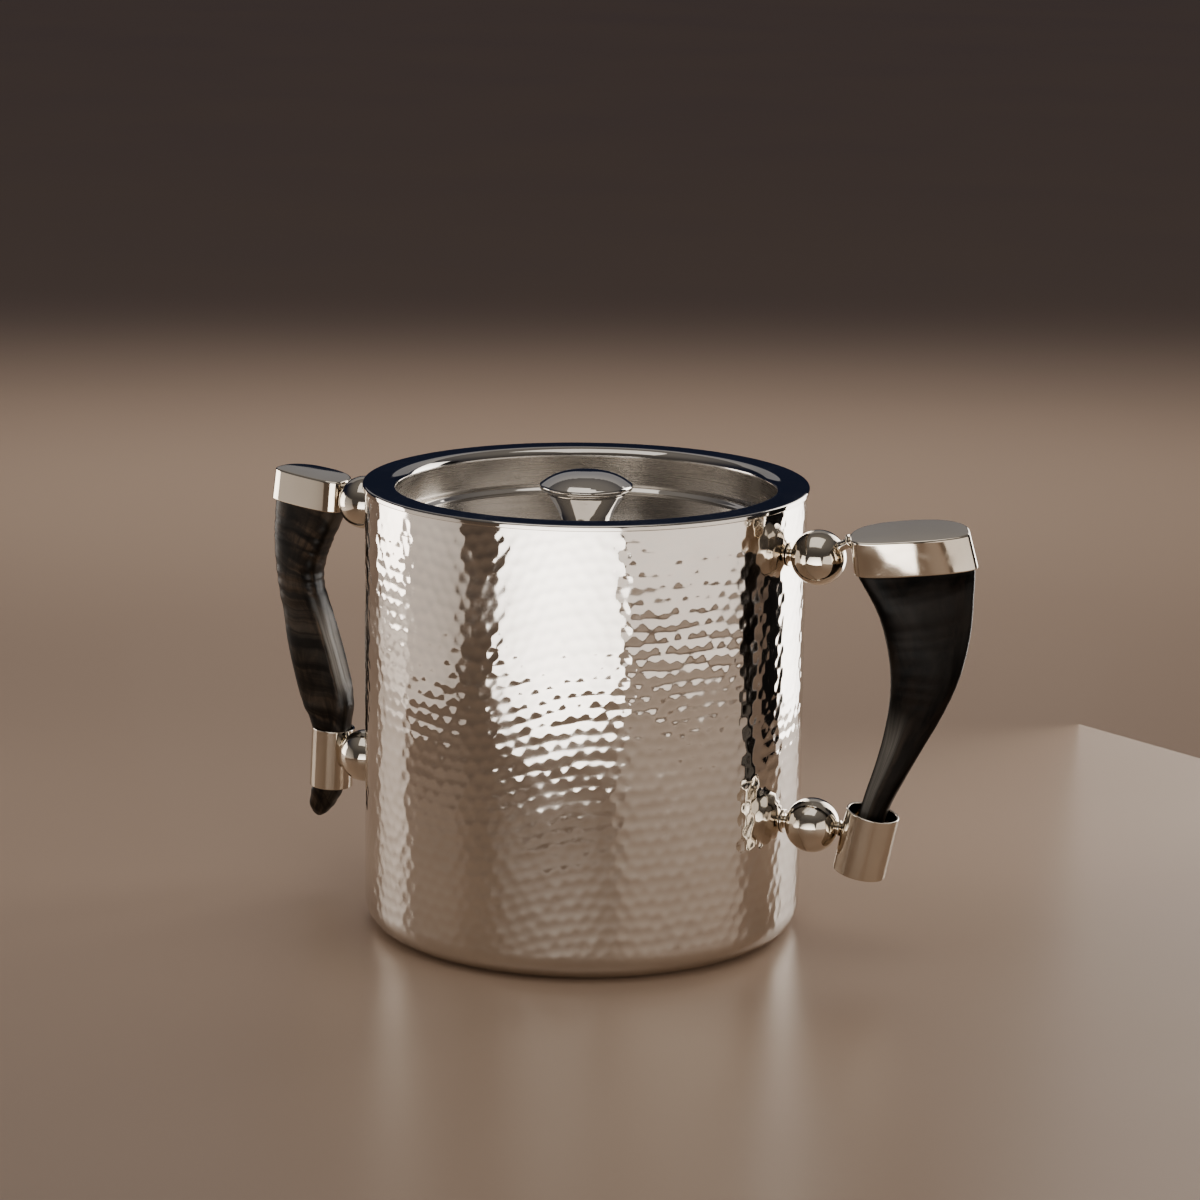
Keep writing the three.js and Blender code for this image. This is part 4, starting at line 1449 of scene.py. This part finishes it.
@dataclass
class Studio:
    """The floor, the soft lights, the surroundings and the camera."""

    azimuth: float = 25.6
    distance: float = 1.6
    eye: float = 0.49779
    yaw: float = 0.0040
    pitch: float = 12.55
    roll: float = 0.68
    lens: float = 114.945

    def camera(self) -> bpy.types.Object:
        """Makes the camera from its distance, height, pitch and roll.

        Returns:
            The camera, which the scene looks through.
        """
        yaw, pitch, roll = self.yaw, math.radians(self.pitch), math.radians(self.roll)
        forward = Vector((math.sin(yaw) * math.cos(pitch), math.cos(yaw) * math.cos(pitch), -math.sin(pitch)))
        level = Vector((math.cos(yaw), -math.sin(yaw), 0))
        above = level.cross(forward)
        right = math.cos(roll) * level + math.sin(roll) * above
        up = -math.sin(roll) * level + math.cos(roll) * above
        frame_axes = Matrix((right, up, -forward)).transposed()
        spin = Matrix.Rotation(math.radians(self.azimuth), 3, "Z")
        data = bpy.data.cameras.new("camera")
        data.lens, data.sensor_width = self.lens, 36.0
        data.clip_start, data.clip_end = 0.05, 50.0
        made = bpy.data.objects.new("camera", data)
        bpy.context.scene.collection.objects.link(made)
        place = spin @ Vector((0, -self.distance, self.eye))
        made.matrix_world = Matrix.Translation(place) @ (spin @ frame_axes).to_4x4()
        bpy.context.scene.camera = made
        bpy.context.scene.view_settings.look = "AgX - Medium High Contrast"
        return made

    def sheet(self, name: str, corners: Sequence[Sequence[float]], finish: Paper) -> bpy.types.Object:
        """Makes one flat face and marks it as no part of the object.

        Args:
            name: Its name.
            corners: Its four corners.
            finish: What it is made of.

        Returns:
            The sheet.
        """
        mesh = bpy.data.meshes.new(name)
        mesh.from_pydata([[float(c) for c in corner] for corner in corners], [], [[0, 1, 2, 3]])
        mesh.materials.append(finish.build())
        made = bpy.data.objects.new(name, mesh)
        bpy.context.scene.collection.objects.link(made)
        return made

    def floor(self) -> bpy.types.Object:
        """Makes the pale floor.

        Returns:
            The floor.
        """
        half = 12.0
        corners = [(-half, -half, 0), (half, -half, 0), (half, half, 0), (-half, half, 0)]
        return self.sheet("floor", corners, Paper())

    def board(self) -> bpy.types.Object:
        """Makes the dark board that stands to the right and draws a dark line down the steel.

        Returns:
            The board, which the camera doesn't see.
        """
        bearing, distance, half, lift, top = 104.0, 0.43, 0.055, 0.001, 0.42
        angle = math.radians(-90 + self.azimuth + bearing)
        ahead = np.array([math.cos(angle), math.sin(angle)])
        across = np.array([-math.sin(angle), math.cos(angle)])
        near, far = ahead * distance - across * half, ahead * distance + across * half
        made = self.sheet("dark_board", [(*near, lift), (*far, lift), (*far, top), (*near, top)],
                          Paper("dark_felt", (0.012, 0.012, 0.014), 0.9))
        made.visible_camera = False
        return made

    def surroundings(self) -> None:
        """Makes the world: slate blue behind the bucket, paler overhead and in front."""
        world = bpy.data.worlds.new("studio")
        bpy.context.scene.world = world
        world.use_nodes = True
        draw = Tree(world.node_tree)
        way = draw.node("TexCoord").outputs["Generated"]
        behind = math.radians(90 + self.azimuth)
        facing = draw.node("VectorMath", {0: way, 1: (math.cos(behind), math.sin(behind), 0)},
                           operation="DOT_PRODUCT").outputs["Value"]
        high = draw.node("SeparateXYZ", {0: way}).outputs[2]
        tone = draw.mix(draw.remap(facing, -0.5, 0.5), (0.09, 0.083, 0.078), (0.018, 0.022, 0.04))
        tone = draw.mix(draw.remap(high, 0.35, 0.95), tone, (0.20, 0.188, 0.175))
        back = world.node_tree.nodes["Background"]
        world.node_tree.links.new(tone, back.inputs["Color"])
        back.inputs["Strength"].default_value = 1.0

    def lights(self) -> None:
        """Makes the lights: a low one in front, one overhead, two behind, four at the sides."""
        heading = math.radians(-90 + self.azimuth)
        for box in (
            SoftBox("front_low", -12, 0.54, 0.16, 0.53, 0.36, 1.15, aim_height=0.58, spread=120),
            SoftBox("key", -20, 0.25, 1.25, 1.0, 1.0, 2.6),
            SoftBox("high_back", 178, 0.95, 0.72, 1.5, 0.6, 0.65, aim_height=0.15),
            SoftBox("back_wash", 180, 1.3, 0.9, 1.6, 0.5, 3.0, aim_height=-2.0, spread=110, mirrored=False),
            SoftBox("right_strip", 128, 0.42, 0.25, 0.23, 0.5, 0.5, aim_height=0.25, spread=100),
            SoftBox("left_far", -114, 0.75, 0.18, 0.36, 0.34, 0.55, WARM, aim_height=0.4, spread=110),
            SoftBox("left_near", -93, 0.50, 0.17, 0.58, 0.34, 0.15, WARM, aim_height=0.42, spread=120),
            SoftBox("right_near", 53, 0.68, 0.18, 0.93, 0.36, 1.0, WARM, aim_height=0.42),
        ):
            box.build(heading)
            LOG.info("light %s, %.2f W", box.name, box.power)

    def build(self) -> None:
        """Makes the whole studio, the camera first."""
        self.camera()
        self.floor()
        self.board()
        self.surroundings()
        self.lights()


def main() -> None:
    """Builds the studio and the bucket, piece by piece, and keeps both boxes."""
    logging.basicConfig(level=logging.INFO, format="%(name)s %(message)s")
    Studio().build()
    finishes = Finishes()
    handles = [Handle(RIGHT, finishes), Handle(LEFT, finishes)]
    seats = [handle.ball(level)[0] for handle in handles for level in ("upper", "lower")]
    HammeredShell().build(finishes.hammered, seats)
    SpunLiner().build(finishes.liner)
    lid = SunkLid()
    lid.pan(finishes.mirror)
    lid.knob(finishes.mirror)
    shell = float(millimetres("outer_shell")[1][0])
    for handle in handles:
        handle.build(shell)
    Fasteners(finishes.zinc).build()


if __name__ == "__main__":
    main()
